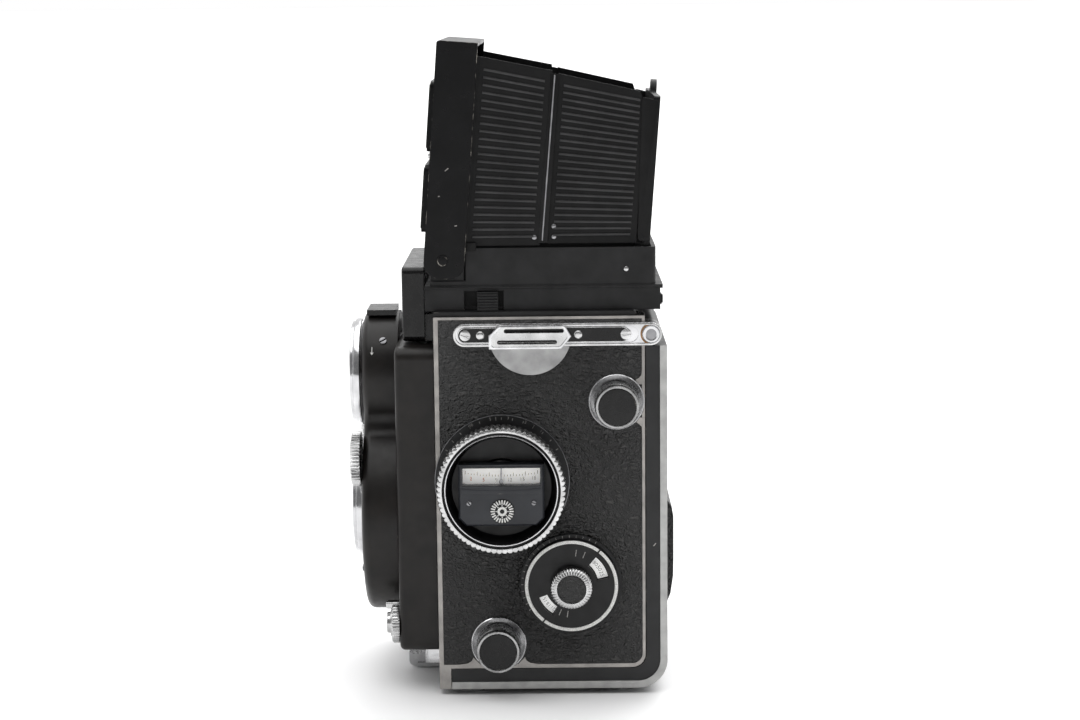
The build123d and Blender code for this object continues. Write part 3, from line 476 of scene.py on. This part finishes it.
def ring(x, y, radius, steps=64):
    return [(x + radius * cos(tau * k / steps), y + radius * sin(tau * k / steps))
            for k in range(steps)]


def capsule(x, y, length, width, steps=16):
    reach = (length - width) / 2
    points = []
    for end, start in ((reach, -pi / 2), (-reach, pi / 2)):
        for k in range(steps + 1):
            angle = start + pi * k / steps
            points.append((x + end + width / 2 * cos(angle), y + width / 2 * sin(angle)))
    return points


def softened(corners, radius, steps=5):
    """Closed outline with its corners rounded off."""
    points = []
    count = len(corners)
    for index, corner in enumerate(corners):
        here = Vector(corner)
        before = Vector(corners[index - 1]) - here
        after = Vector(corners[(index + 1) % count]) - here
        cut = min(radius, before.length * 0.45, after.length * 0.45)
        start = here + before.normalized() * cut
        end = here + after.normalized() * cut
        for k in range(steps + 1):
            share = k / steps
            spot = (1 - share) ** 2 * start + 2 * share * (1 - share) * here + share ** 2 * end
            points.append((spot.x, spot.y))
    return points


def block(x, y, wide, high, radius=0.4):
    corners = [(x - wide / 2, y - high / 2), (x + wide / 2, y - high / 2),
               (x + wide / 2, y + high / 2), (x - wide / 2, y + high / 2)]
    return softened(corners, radius)


def band(inner, outer, start, end, x=0.0, y=0.0, steps=18):
    """Outline of a piece of a flat ring, angles in degrees from across."""
    angles = [radians(start + (end - start) * k / steps) for k in range(steps + 1)]
    rim = [(x + outer * cos(a), y + outer * sin(a)) for a in angles]
    return rim + [(x + inner * cos(a), y + inner * sin(a)) for a in reversed(angles)]


def dashes(radius, length, width, angles, x=0.0, y=0.0):
    """Short radial strokes at these angles in degrees."""
    loops = []
    for angle in angles:
        a = radians(angle)
        out = Vector((cos(a), sin(a)))
        over = Vector((-out.y, out.x)) * width / 2
        base = Vector((x, y)) + out * radius
        tip = base + out * length
        loops.append([tuple(base - over), tuple(tip - over), tuple(tip + over),
                      tuple(base + over)])
    return loops


def digits(name, words, body, material):
    """Small raised numerals. Each word is (place, text, size in mm)."""
    bm = bmesh.new()
    for where, text, size in words:
        curve = bpy.data.curves.new(name, "FONT")
        curve.body = text
        curve.size = size
        curve.align_x = "CENTER"
        curve.align_y = "CENTER"
        curve.extrude = 0.03
        holder = bpy.data.objects.new(name, curve)
        mesh = bpy.data.meshes.new_from_object(holder)
        mesh.transform(where)
        bm.from_mesh(mesh)
        bpy.data.objects.remove(holder)
    mesh = bpy.data.meshes.new(name)
    bm.to_mesh(mesh)
    bm.free()
    return settle(name, mesh, body, material, smooth=False)


def slotted_screws(name, spots, radius, body, material, turn=20.0):
    """Domed screw heads with a straight slot."""
    layers = []
    half = radius * 0.16
    for index, where in enumerate(spots):
        a = radians(turn + 35 * index)
        for sign in (1, -1):
            start = atan2(half, radius)
            arc = []
            for k in range(17):
                angle = start + (pi - 2 * start) * k / 16 + (0 if sign > 0 else pi) + a
                arc.append((radius * cos(angle), radius * sin(angle)))
            layers.append((where, [arc], 0.45))
    return sheet(name, layers, body, material, bevel=0.12)


# ------------------------------------------------------------------ left side

LOW_KNOB = (-17.5, 17.5)
HIGH_KNOB = (21.1, 97.0)
SIDE = 39.0


def film_knobs():
    """Dished bases, and knurled caps with a black disc."""
    dish = [(9.0, 0.0), (9.0, 1.5), (8.75, 1.8), (8.4, 1.75), (6.6, 0.75), (2.7, 0.7),
            (2.7, 0.2)]
    spots = [left(SIDE, *LOW_KNOB), left(SIDE, *HIGH_KNOB)]
    piece = lathe("knob_dish_pair", spots, dish, "body", CHROME)
    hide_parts("knob_dishes")
    cap = [(2.2, 0.0), (2.2, 1.0), (6.4, 1.2), (6.9, 1.6), (6.9, 5.0), (7.1, 5.3), (7.1, 5.6),
           (7.1, 7.8), (7.1, 8.2), (6.95, 8.4), (6.95, 10.5), (6.75, 10.95), (6.4, 11.0),
           (6.1, 10.95), (6.05, 10.6), (0, 10.6)]

    def fine(row, angle):
        return 0.12 * cos(angle * 60) if row in (6, 7) else 0.0

    for name, spot, body in (("supply", LOW_KNOB, "supply_knob"),
                             ("takeup", HIGH_KNOB, "takeup_knob")):
        where = left(SIDE, *spot)
        piece = lathe(name + "_knob_cap", where, cap, body, KNURLED, 240, fine)
        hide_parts(name + "_knob")
        disc = [(6.0, 10.62), (5.85, 10.86), (4.6, 10.95), (0, 10.98)]
        lathe(name + "_knob_leather", where, disc, body, BLACK)


def flares():
    """Bright fillets where the dishes run into the trim line."""
    loops = []
    y, z = LOW_KNOB
    for sign in (1, -1):
        loops.append([(y + sign * a, b) for a, b in
                      ((6.2, 10.3), (8.4, 12.6), (8.9, 11.4), (10.2, 10.6), (13.0, 10.2),
                       (13.0, 9.0), (6.2, 9.0))])
    y, z = HIGH_KNOB
    for sign in (1, -1):
        loops.append([(a, z + sign * b) for a, b in
                      ((28.2, 5.4), (27.2, 6.8), (28.2, 7.4), (29.1, 8.4), (29.3, 11.0),
                       (30.1, 11.0), (30.1, 5.4))])
    layers = [(left(SIDE), [loop], 0.12) for loop in loops]
    sheet("trim_flares", layers, "body", TRIM)


film_knobs()
flares()

FOCUS = (-15.7, 71.7)
RIM = 50.2


def focus_knob():
    """Scalloped chrome rim round a black well, over a black scale disc."""
    rim = [(18.9, 0.0), (19.9, 0.15), (20.45, 0.5), (20.45, 5.4), (20.1, 5.95), (19.4, 6.2),
           (18.7, 6.1), (18.6, 5.2)]

    def scallop(row, angle):
        deep = (0.2, 0.5, 0.62, 0.62, 0.5, 0.15, 0.0, 0.0)[row]
        return -deep * (1 - abs(sin(angle * 36)) ** 0.7)

    where = left(RIM, *FOCUS)
    piece = lathe("focus_rim", where, rim, "focus_ring", CHROME_FACE, 576,
                  scallop, closed=True)
    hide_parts("focus_ring")
    well = [(18.75, 0.1), (18.5, 5.6), (18.2, 5.75), (17.9, 5.3), (17.55, 5.2), (17.4, 4.6),
            (16.6, 0.4), (15.8, -0.9), (9.2, -0.9), (9.0, -1.2), (9.0, -10.6), (15.5, -10.6),
            (15.5, -7.8), (18.6, -7.6), (18.75, -1.0)]
    lathe("focus_well", where, well, "focus_ring", PLASTIC, closed=True)
    inner = [(17.95, 5.3), (17.9, 5.55), (17.6, 5.6), (17.42, 5.3), (17.4, 5.0), (17.9, 5.0)]
    lathe("focus_inner_line", where, inner, "focus_ring", CHROME, closed=True)
    grooves = [(18.62, -7.0), (18.8, -6.8), (18.8, -0.2), (18.6, 0.0)]
    lathe("focus_neck", where, grooves, "focus_ring", PLASTIC, 216,
          lambda row, angle: 0.08 * cos(angle * 54))
    rise = 2.02
    scale = left(SIDE + rise, *FOCUS)
    loops = dashes(20.0, 0.75, 0.22, range(30, 160, 10)) + dashes(19.8, 1.2, 0.26, (60, 95, 120))
    sheet("focus_scale_marks", [(scale, [loop], 0.04) for loop in loops], "body",
          DULL_WHITE)
    words = []
    for text, angle in (("10", 118), ("5", 100), ("3", 84), ("2", 68), ("1", 52)):
        a = radians(angle)
        spot = left(SIDE + rise, FOCUS[0] + 20.6 * cos(a), FOCUS[1] + 20.6 * sin(a))
        words.append((spot @ Matrix.Rotation(a - pi / 2, 4, "Z"), text, 1.3))
    digits("focus_scale_numbers", words, "body", DULL_WHITE)
    line = [(21.55, 1.9), (21.62, 2.02), (21.5, 2.06), (21.4, 2.02)]
    lathe("focus_scale_edge", left(SIDE, *FOCUS), line, "body", STEEL,
          closed=True)


def meter():
    """Details of the meter in the focus knob: scale, window rim, screws and rosette."""
    y, z = FOCUS
    card = []
    for k in range(13):
        across = -12.2 + 24.4 * k / 12
        card.append((across, 1.7 - 0.9 * (1 - (across / 12.2) ** 2)))
    card += [(12.2, 7.0), (-12.2, 7.0)]
    # The scale card's paint glows by itself: painted light on the meter scale.
    sheet("meter_scale_card_painted_glow", [(left(51.25, y, z), [card], 0.3)], "body",
          CREAM_PAINTED_GLOW)

    def curved(across, lift):
        return across, lift - 0.9 * (1 - (across / 12.2) ** 2)

    loops = []
    for k in range(25):
        across = -11.4 + 22.8 * k / 24
        low, high = curved(across, 4.7), curved(across, 5.9 if k % 4 == 0 else 5.3)
        loops.append([(low[0] - 0.07, low[1]), (low[0] + 0.07, low[1]),
                      (high[0] + 0.07, high[1]), (high[0] - 0.07, high[1])])
    sheet("meter_scale_lines", [(left(51.56, y, z), [loop], 0.03) for loop in loops], "body",
          PLASTIC)
    words = []
    for text, across in (("2", -9.6), ("5", -5.6), ("9", -1.6), ("12", 2.6), ("15", 6.6),
                         ("18", 10.2)):
        spot = curved(across, 3.5)
        words.append((left(51.56, y + spot[0], z + spot[1]), text, 1.7))
    digits("meter_scale_numbers", words[2:], "body", STEEL)
    digits("meter_scale_red_numbers", words[:2], "body", RED)
    lip = [block(0, 4.35, 25.8, 6.9, 0.6), block(0, 4.35, 24.6, 5.7, 0.3)]
    sheet("meter_window_rim", [(left(54.75, y, z), lip, 0.4)], "body", SLATE,
          bevel=0.1)
    brow = []
    for k in range(13):
        across = -12.9 + 25.8 * k / 12
        brow.append((across, 1.0 - 0.9 * (1 - (across / 12.9) ** 2)))
    brow += [(12.9, -0.1), (12.6, -1.1), (-12.6, -1.1), (-12.9, -0.1)]
    sheet("meter_brow", [(left(54.6, y, z), [brow], 0.45)], "body", SLATE,
          bevel=0.12)
    slotted_screws("meter_screws", [left(54.95, y - 10.2, z - 4.0), left(54.95, y + 10.2, z - 4.0)],
                   0.75, "body", STEEL, 130)
    spot = left(54.98, y + 0.2, z - 6.6)
    base = [(3.9, 0.0), (3.85, 0.25), (3.4, 0.4), (1.2, 0.55), (0, 0.6)]
    lathe("rosette_base", spot, base, "body", PLASTIC, 64)
    rays = dashes(2.3, 1.35, 0.42, range(0, 360, 15))
    rays += [ring(0, 0, 1.5, 24)] + dashes(1.6, 0.5, 0.3, range(0, 360, 45))
    layers = [(left(55.3, y + 0.2, z - 6.6), [loop], 0.25) for loop in rays]
    sheet("rosette_rays", layers, "body", WHITE, bevel=0.04)


focus_knob()
meter()

SPEED = (6.2, 37.4)


def speed_dial():
    """White ring, windows with numbers, scale strokes on the skirt, ribbed knob."""
    y, z = SPEED
    ring_line = [(14.9, 4.0), (15.0, 4.22), (14.7, 4.36), (14.2, 4.36), (13.95, 4.2),
                 (14.0, 4.0)]
    lathe("film_dial_white_ring", left(SIDE, y, z), ring_line, "body", WHITE,
          128, closed=True)
    skirt = [(16.5, 0.1), (16.5, 1.6), (16.2, 1.9), (15.3, 1.95), (15.1, 3.2), (15.1, 3.9),
             (14.95, 4.1)]
    lathe("film_dial_skirt", left(SIDE, y, z), skirt, "body", PLASTIC, 96)
    loops = dashes(15.45, 0.75, 0.2, range(60, 215, 8))
    sheet("film_dial_skirt_marks", [(left(SIDE + 1.94, y, z), [l], 0.05) for l in loops],
          "body", DULL_WHITE)
    face = left(SIDE + 4.12, y, z)
    notches = dashes(13.5, 1.9, 0.5, (52, 232))
    sheet("film_dial_pointers", [(left(SIDE + 4.3, y, z), [l], 0.1) for l in notches],
          "body", PLASTIC)
    windows = [band(8.7, 12.1, 13, 49), band(8.5, 11.2, 201, 237)]
    # The scale faces in the dial windows glow by themselves: painted light against the shade of the
    # cover.
    sheet("film_dial_scale_faces_painted_glow", [(left(SIDE + 2.42, y, z), [w], 0.1) for w in windows],
          "speed_dial", WHITE_PAINTED_GLOW)
    words = []
    for text, radius, angle, size, side_x in (
            ("25", 10.4, 20, 1.9, 2.55), ("50", 10.4, 31, 1.9, 2.55), ("80", 10.4, 42, 1.9, 2.55),
            ("15", 9.8, 210, 1.7, 2.55), ("18", 9.8, 221, 1.7, 2.55), ("21", 9.8, 232, 1.7, 2.55)):
        a = radians(angle)
        spot = left(SIDE + side_x, y + radius * cos(a), z + radius * sin(a))
        words.append((spot @ Matrix.Rotation(a - pi / 2, 4, "Z"), text, size))
    digits("film_dial_numbers", words, "speed_dial", STEEL)
    stroke = block(0, 0, 2.2, 0.28, 0.1)
    marks = []
    for radius, angle in ((11.0, 68), (11.0, 82), (9.4, 247), (9.4, 262)):
        a = radians(angle)
        spot = face @ Matrix.Rotation(a, 4, "Z") @ Matrix.Translation((radius, 0, -0.05))
        marks.append((spot, [stroke], 0.08))
    sheet("film_dial_face_marks", marks, "body", DULL_WHITE)

    def ribs(row, angle):
        return 0.22 * abs(sin(angle * 20)) if 3 <= row <= 6 else 0.0

    knob = [(2.0, -3.0), (2.0, 0.0), (6.2, 0.0), (6.6, 0.3), (6.6, 2.9), (6.4, 3.5), (5.5, 4.2),
            (4.75, 4.4), (4.6, 4.05), (0, 4.05)]
    where = left(SIDE + 4.4, y, z)
    lathe("film_dial_knob_cap", where, knob, "speed_dial", CHROME_FACE, 320,
          ribs)
    disc = [(12.5, 0.0), (12.5, 0.9), (2.0, 0.9)]
    lathe("film_dial_disc", left(SIDE + 1.5, y, z), disc, "speed_dial", PLASTIC)
    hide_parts("speed_dial_knob")
    spokes = dashes(4.75, 1.55, 0.34, range(0, 360, 9))
    sheet("film_dial_knob_ribs", [(left(SIDE + 8.35, y, z), [s], 0.4) for s in spokes],
          "speed_dial", CHROME_FACE, bevel=0.06)
    patch = [(4.58, 4.1), (4.4, 4.32), (3.4, 4.42), (0, 4.45)]
    lathe("film_dial_leather", where, patch, "speed_dial", LEATHER)


speed_dial()


def strap_side(side, tag):
    """Capsule plate with double rim and black inset, screws, rivets and slotted lug."""
    centre = 118.8
    flip = 1 if side is left else -1
    at = lambda x: side(x, 0.0, 0.0)

    def turned(points):
        return [(flip * y, z) for y, z in points]

    rims = [(at(39.95), [turned(capsule(2.5, centre, 66.3, 7.2)),
                         turned(capsule(2.5, centre, 64.9, 5.8))], 0.55),
            (at(39.9), [turned(capsule(-2.0, centre, 54.9, 5.1)),
                        turned(capsule(-2.0, centre, 54.1, 4.4))], 0.35)]
    sheet("strap_plate_rims_" + tag, rims, "body", CHROME_FACE, bevel=0.08)
    inset = turned(capsule(-2.0, centre, 54.2, 4.5))
    sheet("strap_plate_inset_" + tag, [(at(39.72), [inset], 0.22)], "body", BLACK)
    spots = [side(39.95, y, centre) for y in (-26.9, 24.2)]
    slotted_screws("strap_plate_slotted_" + tag, spots, 1.75, "body",
                   CHROME_FACE, 155 if flip > 0 else 20)
    rivet = [(1.3, 0.0), (1.3, 0.35), (1.0, 0.6), (0.5, 0.68), (0, 0.7)]
    lathe("strap_plate_rivets_" + tag, [side(39.95, y, centre) for y in (-22.1, 9.0)], rivet,
          "body", CHROME_FACE, 32)
    shape = softened([(-19.3, 114.6), (3.6, 114.6), (6.8, 118.6), (4.6, 122.4), (-15.8, 122.4),
                      (-19.3, 119.0)], 1.3)
    inner = softened([(-18.4, 115.4), (3.2, 115.4), (5.8, 118.6), (4.1, 121.6), (-15.4, 121.6),
                      (-18.4, 118.6)], 1.0)
    sheet("strap_lug_rim_" + tag, [(at(42.2), [turned(shape), turned(inner)], 0.35)], "body",
          CHROME, bevel=0.1)
    head = [(2.85, 0.0), (2.85, 0.5), (2.6, 0.78), (1.9, 0.85), (1.6, 0.7), (0, 0.6)]
    lathe("hinge_head_" + tag, side(39.95, 32.2, centre), head, "body", CHROME, 64)
    collar = [(3.4, 0.0), (3.4, 0.45), (2.9, 0.45), (2.9, 0.0)]
    lathe("hinge_collar_" + tag, side(39.9, 32.2, centre), collar, "body", BRASS,
          64, closed=True)


strap_side(left, "left")
strap_side(right, "right")


# ------------------------------------------------------------------ lenses and front

VIEW_Z = 101.0
TAKE_Z = 56.0
PLATE = -61.9


def lens_faces():
    """Bayonet rims, ridged bezels, coated glasses and the closed shutter."""
    for name, z in (("viewing", VIEW_Z), ("taking", TAKE_Z)):
        where = front(PLATE, 0, z)
        rim = [(15.6, 2.6), (15.6, 4.1), (15.9, 4.3), (16.6, 4.3), (17.0, 4.0), (17.1, 3.2),
               (17.7, 3.0), (17.95, 2.6), (17.95, 1.0), (17.4, 0.8), (17.1, 0.1), (15.6, 0.0)]
        lathe(name + "_bayonet_rim", where, rim, "lens_front", CHROME, 128,
              closed=True)
        bezel = [(15.3, 0.0), (15.3, 2.55), (14.9, 2.75), (14.4, 2.2), (14.0, 2.2), (13.8, 1.9),
                 (13.4, 1.9), (13.2, 1.6), (12.8, 1.6), (12.4, 1.25), (12.2, 1.2), (12.2, -1.2)]
        lathe(name + "_bezel", where, bezel, "lens_front", BLACK, 128)
        dome = [(12.15, -1.0), (12.15, 0.0), (11.0, 0.45), (8.0, 1.15), (4.0, 1.6), (0, 1.75)]
        lathe(name + "_front_glass", where, dome, "lens_front", GLASS, 96)
        cup = [(12.2, -1.2), (10.7, -1.6), (10.6, -6.0), (9.0, -7.5), (7.8, -8.0), (7.8, -12.0),
               (0, -12.2)]
        lathe(name + "_inner_cup", where, cup, "lens_front", INNER, 96)
        second = [(7.7, -9.2), (6.4, -8.4), (3.4, -7.6), (0, -7.3)]
        lathe(name + "_second_glass", where, second, "lens_front", GLASS, 64)
    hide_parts("lens_glasses")
    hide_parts("bayonet_rings")
    blades = []
    for k in range(5):
        turn = Matrix.Rotation(tau * k / 5, 4, "Z")
        blade = softened([(0.2, -0.3), (7.4, -2.2), (7.4, 4.2), (2.8, 6.8), (-0.4, 2.0)], 0.4)
        where = front(-73.8 + 0.12 * k, 0, TAKE_Z) @ turn
        blades.append((where @ Matrix.Translation((0, 0, -23.4)), [blade], 0.08))
    sheet("shutter_blades", blades, "lens_front", STEEL)


def wheels():
    """Knurled thumb wheels with a black milled centre."""
    def milled(row, angle):
        return 0.3 * cos(angle * 44) if row in (1, 2, 3) else 0.0

    rim = [(5.0, 0.0), (8.6, 0.1), (8.75, 0.5), (8.75, 2.7), (8.4, 3.1), (7.6, 3.35), (6.2, 3.3),
           (6.0, 2.9), (2.6, 2.9), (2.4, 3.4), (0, 3.5)]
    for body, x in (("aperture_wheel", 22.0), ("shutter_wheel", -22.0)):
        where = front(PLATE - 0.3, x, 75.5)
        lathe(body + "_rim", where, rim, body, CHROME_FACE, 352, milled)
        cap = [(5.9, 2.92), (5.6, 3.15), (2.9, 3.15), (2.7, 2.95)]
        lathe(body + "_centre", where, cap, body, PLASTIC, 64)
        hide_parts(body)


def plate_marks():
    """Slotted screw and arrow on the flank of the upper lobe, and screws on the plate."""
    def flank(turn, back):
        angle = radians(turn)
        normal = Vector((cos(angle), 0, sin(angle)))
        spot = Vector((0, back, VIEW_Z)) + normal * 20.52
        return place(spot, (0, 1, 0), normal)

    slotted_screws("lobe_screw", [flank(38, -54.8)], 1.25, "lens_front", STEEL, 30)
    arrow = [(-0.11, -1.7), (0.11, -1.7), (0.11, 0.2), (0.55, 0.1), (0, 1.1), (-0.55, 0.1),
             (-0.11, 0.2)]
    where = flank(27, -58.4) @ Matrix.Rotation(pi, 4, "Z")
    sheet("lobe_arrow", [(where, [arrow], 0.05)], "lens_front", WHITE)
    spots = [front(PLATE, x, z) for x, z in ((12.5, 80.0), (-12.5, 80.0), (27, 40), (-27, 40))]
    slotted_screws("lens_plate_screws", spots, 1.1, "lens_front", STEEL, 60)


def front_fittings():
    """Flash socket with its pin and lever, the marks of the release lock and the release cup."""
    socket = [(2.6, 0.4), (6.4, 0.0), (6.6, 0.3), (6.6, 2.2), (6.3, 2.6), (4.6, 2.7),
              (4.5, 3.1), (3.5, 3.2), (3.4, 4.2), (3.2, 4.4), (2.75, 4.4), (2.6, 4.2)]
    where = front(-50.0, 29.5, 22)
    piece = lathe("flash_socket_collar", where, socket, "lens_front",
                  CHROME_FACE, 192, lambda row, a: 0.1 * cos(a * 40) if 1 <= row <= 3 else 0.0,
                  closed=True)
    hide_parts("flash_socket")
    pin = [(2.6, 0.5), (0.9, 0.6), (0.7, 0.9), (0.7, 3.3), (0.5, 3.6), (0, 3.65)]
    lathe("flash_socket_pin", where, pin, "lens_front", STEEL, 48)
    tongue = [(-1.4, 4.9), (1.4, 4.9), (1.6, 6.9), (0.7, 7.4), (-0.7, 7.4), (-1.6, 6.9)]
    sheet("flash_socket_lever", [(where, [softened(tongue, 0.5)], 4.6)], "lens_front",
          CHROME_FACE, bevel=0.3)
    dots = [(front(-50.02, -29 + 7.6 * cos(radians(a)), 22 + 7.6 * sin(radians(a))),
             [ring(0, 0, 0.5, 20)], 0.06) for a in (210, 270)]
    sheet("release_lock_marks", dots, "lens_front", WHITE)
    cup = [(3.5, 5.2), (2.6, 5.45), (1.6, 5.1), (1.1, 4.3), (0, 4.2)]
    lathe("release_cup", front(-53.6, -29, 22), cup, "shutter_button",
          CHROME_FACE, 48)


lens_faces()
wheels()
plate_marks()
front_fittings()


# ------------------------------------------------------------------ hood

LID_FACE = 6.0
LID_RISE = 7.78
RIB_COUNT = 23
RIB_RADIUS = 0.42
RIB_FAN = -11.5


def hood_details():
    """Raised rims and latch of the lid, seams, hooks and slot backs of the base, and pins."""
    for name, body, height, wide, tall in (("lid_plate_rim", "hood_lid", 18.5, 54.0, 19.6),
                                           ("finder_flap_rim", "finder_flap", 44.5, 44.0, 20.6)):
        loops = [block(0, 0, wide, tall, 1.6), block(0, 0, wide - 4.0, tall - 4.0, 1.2)]
        sheet(name, [(on_lid(LID_RISE, 0, height), loops, 0.35)], body, PLASTIC,
              bevel=0.12)
    frame_loops = [block(0, 44.5, 52.0, 27.8, 1.5), block(0, 44.83, 47.4, 24.44, 0.8)]
    sheet("finder_surround", [(on_lid(LID_FACE + 0.02), frame_loops, 0.35)], "hood_lid",
          PLASTIC, bevel=0.1)
    latch = [(on_lid(LID_FACE, 0, 30.65), [block(0, 0, 11.0, 1.7, 0.6)], 2.1)]
    sheet("lid_latch", latch, "hood_lid", CHROME_FACE, bevel=0.2)
    seams = [[(x, -39.6, 133.4), (x, 35.2, 133.4)] for x in (35.05, -35.05)]
    wire("hood_base_bead", seams, 0.35, "body", GREY)
    hooks = [(place((x, 36.2, 128.0), (1, 0, 0), (0, 1, 0)), [block(0, 0, 3.4, 2.8, 0.9)], 0.5)
             for x in (24, -24)]
    sheet("hood_hooks", hooks, "body", LID_BLACK, bevel=0.15)
    pin = [(0.75, 0.0), (0.75, 0.25), (0.5, 0.42), (0, 0.45)]
    for tag, face in (("left", left), ("right", right)):
        slot = [(face(32.95, -20.9, 128.8), [block(0, 0, 12.6, 8.0, 0.4)], 0.25)]
        sheet("lock_slot_back_" + tag, slot, "body", INNER)
        corner = [(face(34.0, -24.8, 146.4), [block(0, 0, 3.2, 2.6, 0.3)], 0.8)]
        sheet("hood_corner_" + tag, corner, "body", INNER, bevel=0.1)
        cap = [(1.7, 0.0), (1.7, 0.3), (1.5, 0.5), (0.6, 0.6), (0, 0.6)]
        lathe("lid_pin_cap_" + tag, face(36.55, *LID_AXIS), cap, "hood_lid",
              LID_BLACK, 32)
        spot = face(33.4, -4.6, 149.2)
        lathe("front_leaf_pin_" + tag, spot, pin, "front_leaf_" + tag, STEEL, 24)
        spots = [face(32.2, 1.6, 149.2), face(32.2, 1.6, 152.6)]
        lathe("rear_leaf_pins_" + tag, spots, pin, "rear_leaf_" + tag, STEEL, 24)
        spot = face(34.5, 24.5, 139.0)
        lathe("hood_base_pin_" + tag, spot, pin, "body", CHROME_FACE, 24)


hood_details()


def leaf_details():
    """Half-round ribs, the piano hinge between the leaves, and the folded rim of the back."""
    leaves = (("front_leaf", 33.5, 19.5, (-14.6, 149.5), (-10.3, 200.4)),
              ("rear_leaf", 32.3, 24.6, (13.7, 149.8), (17.3, 194.6)))
    for tag, sign in (("left", 1), ("right", -1)):
        for name, x, length, low, high in leaves:
            lines = []
            for k in range(RIB_COUNT):
                share = k / (RIB_COUNT - 1)
                tilt = radians(RIB_FAN) * share
                y = low[0] + share * (high[0] - low[0])
                z = low[1] + share * (high[1] - low[1])
                run = (length / 2 * cos(tilt), length / 2 * sin(tilt))
                lines.append([(sign * x, y - run[0], z - run[1]),
                              (sign * x, y + run[0], z + run[1])])
            body = name + "_" + tag
            # The ribs take a lighter copy of the leaf paint: painted sheen on the ribs.
            wire(name + "_ribs_" + tag, lines, RIB_RADIUS, body, LEAF_RIB_PAINTED_SHEEN)
        side = left if sign > 0 else right
        corners = ((-3.4, 147.4), (-0.5, 147.4), (3.8, 200.5), (1.2, 201.1))
        strip = [(sign * y, z) for y, z in corners]
        body = "front_leaf_" + tag
        sheet("leaf_hinge_strip_" + tag, [(side(33.42), [strip], 0.22)], body,
              LEAF_GREY, bevel=0.04)
        wire("leaf_hinge_pin_" + tag, [[(sign * 33.7, -2.1, 148.2), (sign * 33.7, 2.4, 200.4)]],
             0.28, body, STEEL)
        corners = ((28.3, 147.6), (32.2, 147.6), (35.6, 191.8), (29.8, 193.4))
        rim = softened([(sign * y, z) for y, z in corners], 1.6)
        sheet("hood_back_rim_" + tag, [(side(32.62), [rim], 0.3)], "hood_back",
              LEAF_GREY, bevel=0.1)


leaf_details()


def nicks():
    """A few small chips in the paint of the lid and the back."""
    chips = [(36.2, -32.0, 171.2, 1.5, 0.3, 40), (36.2, -29.4, 153.4, 0.8, 0.3, 10),
             (36.2, -34.6, 162.8, 0.5, 0.25, 0)]
    layers = [(left(x, y, z) @ Matrix.Rotation(radians(turn), 4, "Z"),
               [block(0, 0, long, thin, 0.15)], 0.03) for x, y, z, long, thin, turn in chips]
    sheet("lid_chips", layers, "hood_lid", TRIM)
    chip = left(39.0, 33.2, 49.8) @ Matrix.Rotation(radians(50), 4, "Z")
    sheet("door_chip", [(chip, [block(0, 0, 1.3, 0.3, 0.15)], 0.03)], "back", TRIM)


nicks()


# ------------------------------------------------------------------ surroundings

# name, turn in degrees, strength, angle of softness in degrees
SUNS = (("overhead", (0, 0, 0), 2.1, 80),
        ("key", (-48, 0, 68), 1.3, 50),
        ("fill", (58, 0, 78), 0.22, 90))
SKY_RAMP = {"From Min": -0.1, "From Max": 0.8, "To Min": 1.0, "To Max": 0.1}
TABLE_REACH = 60


def studio():
    """Wide pale table, wide soft sun lights, and a sky darker towards the camera."""
    bm = bmesh.new()
    reach = TABLE_REACH
    corners = ((-reach, -reach), (reach, -reach), (reach, reach), (-reach, reach))
    bm.faces.new([bm.verts.new((x, y, 0)) for x, y in corners])
    mesh = bpy.data.meshes.new("table")
    bm.to_mesh(mesh)
    bm.free()
    table = bpy.data.objects.new("table", mesh)
    bpy.context.scene.collection.objects.link(table)
    shader = Shader("table_white", Specular_IOR_Level=0.25)
    colour = shader.mixed(shader.noise(0.02, 2.0), (0.93, 0.93, 0.935), (0.95, 0.95, 0.95))
    mesh.materials.append(shader.finish(colour, shader.ranged(shader.noise(0.1), 0, 1, 0.4, 0.5)))
    for name, turn, strength, angle in SUNS:
        data = bpy.data.lights.new(name, "SUN")
        data.energy = strength
        data.angle = radians(angle)
        lamp = bpy.data.objects.new(name, data)
        lamp.rotation_euler = [radians(a) for a in turn]
        bpy.context.scene.collection.objects.link(lamp)
    world = bpy.data.worlds.new("sky")
    bpy.context.scene.world = world
    world.use_nodes = True
    tree = world.node_tree
    coordinates = tree.nodes.new("ShaderNodeTexCoord")
    split = tree.nodes.new("ShaderNodeSeparateXYZ")
    tree.links.new(coordinates.outputs["Generated"], split.inputs[0])
    ramp = tree.nodes.new("ShaderNodeMapRange")
    ramp.interpolation_type = "SMOOTHSTEP"
    for key, value in SKY_RAMP.items():
        ramp.inputs[key].default_value = value
    tree.links.new(split.outputs["X"], ramp.inputs["Value"])
    background = tree.nodes["Background"]
    background.inputs["Color"].default_value = (1.0, 1.0, 1.0, 1.0)
    tree.links.new(ramp.outputs["Result"], background.inputs["Strength"])
    bpy.context.scene.view_settings.view_transform = "Standard"


studio()
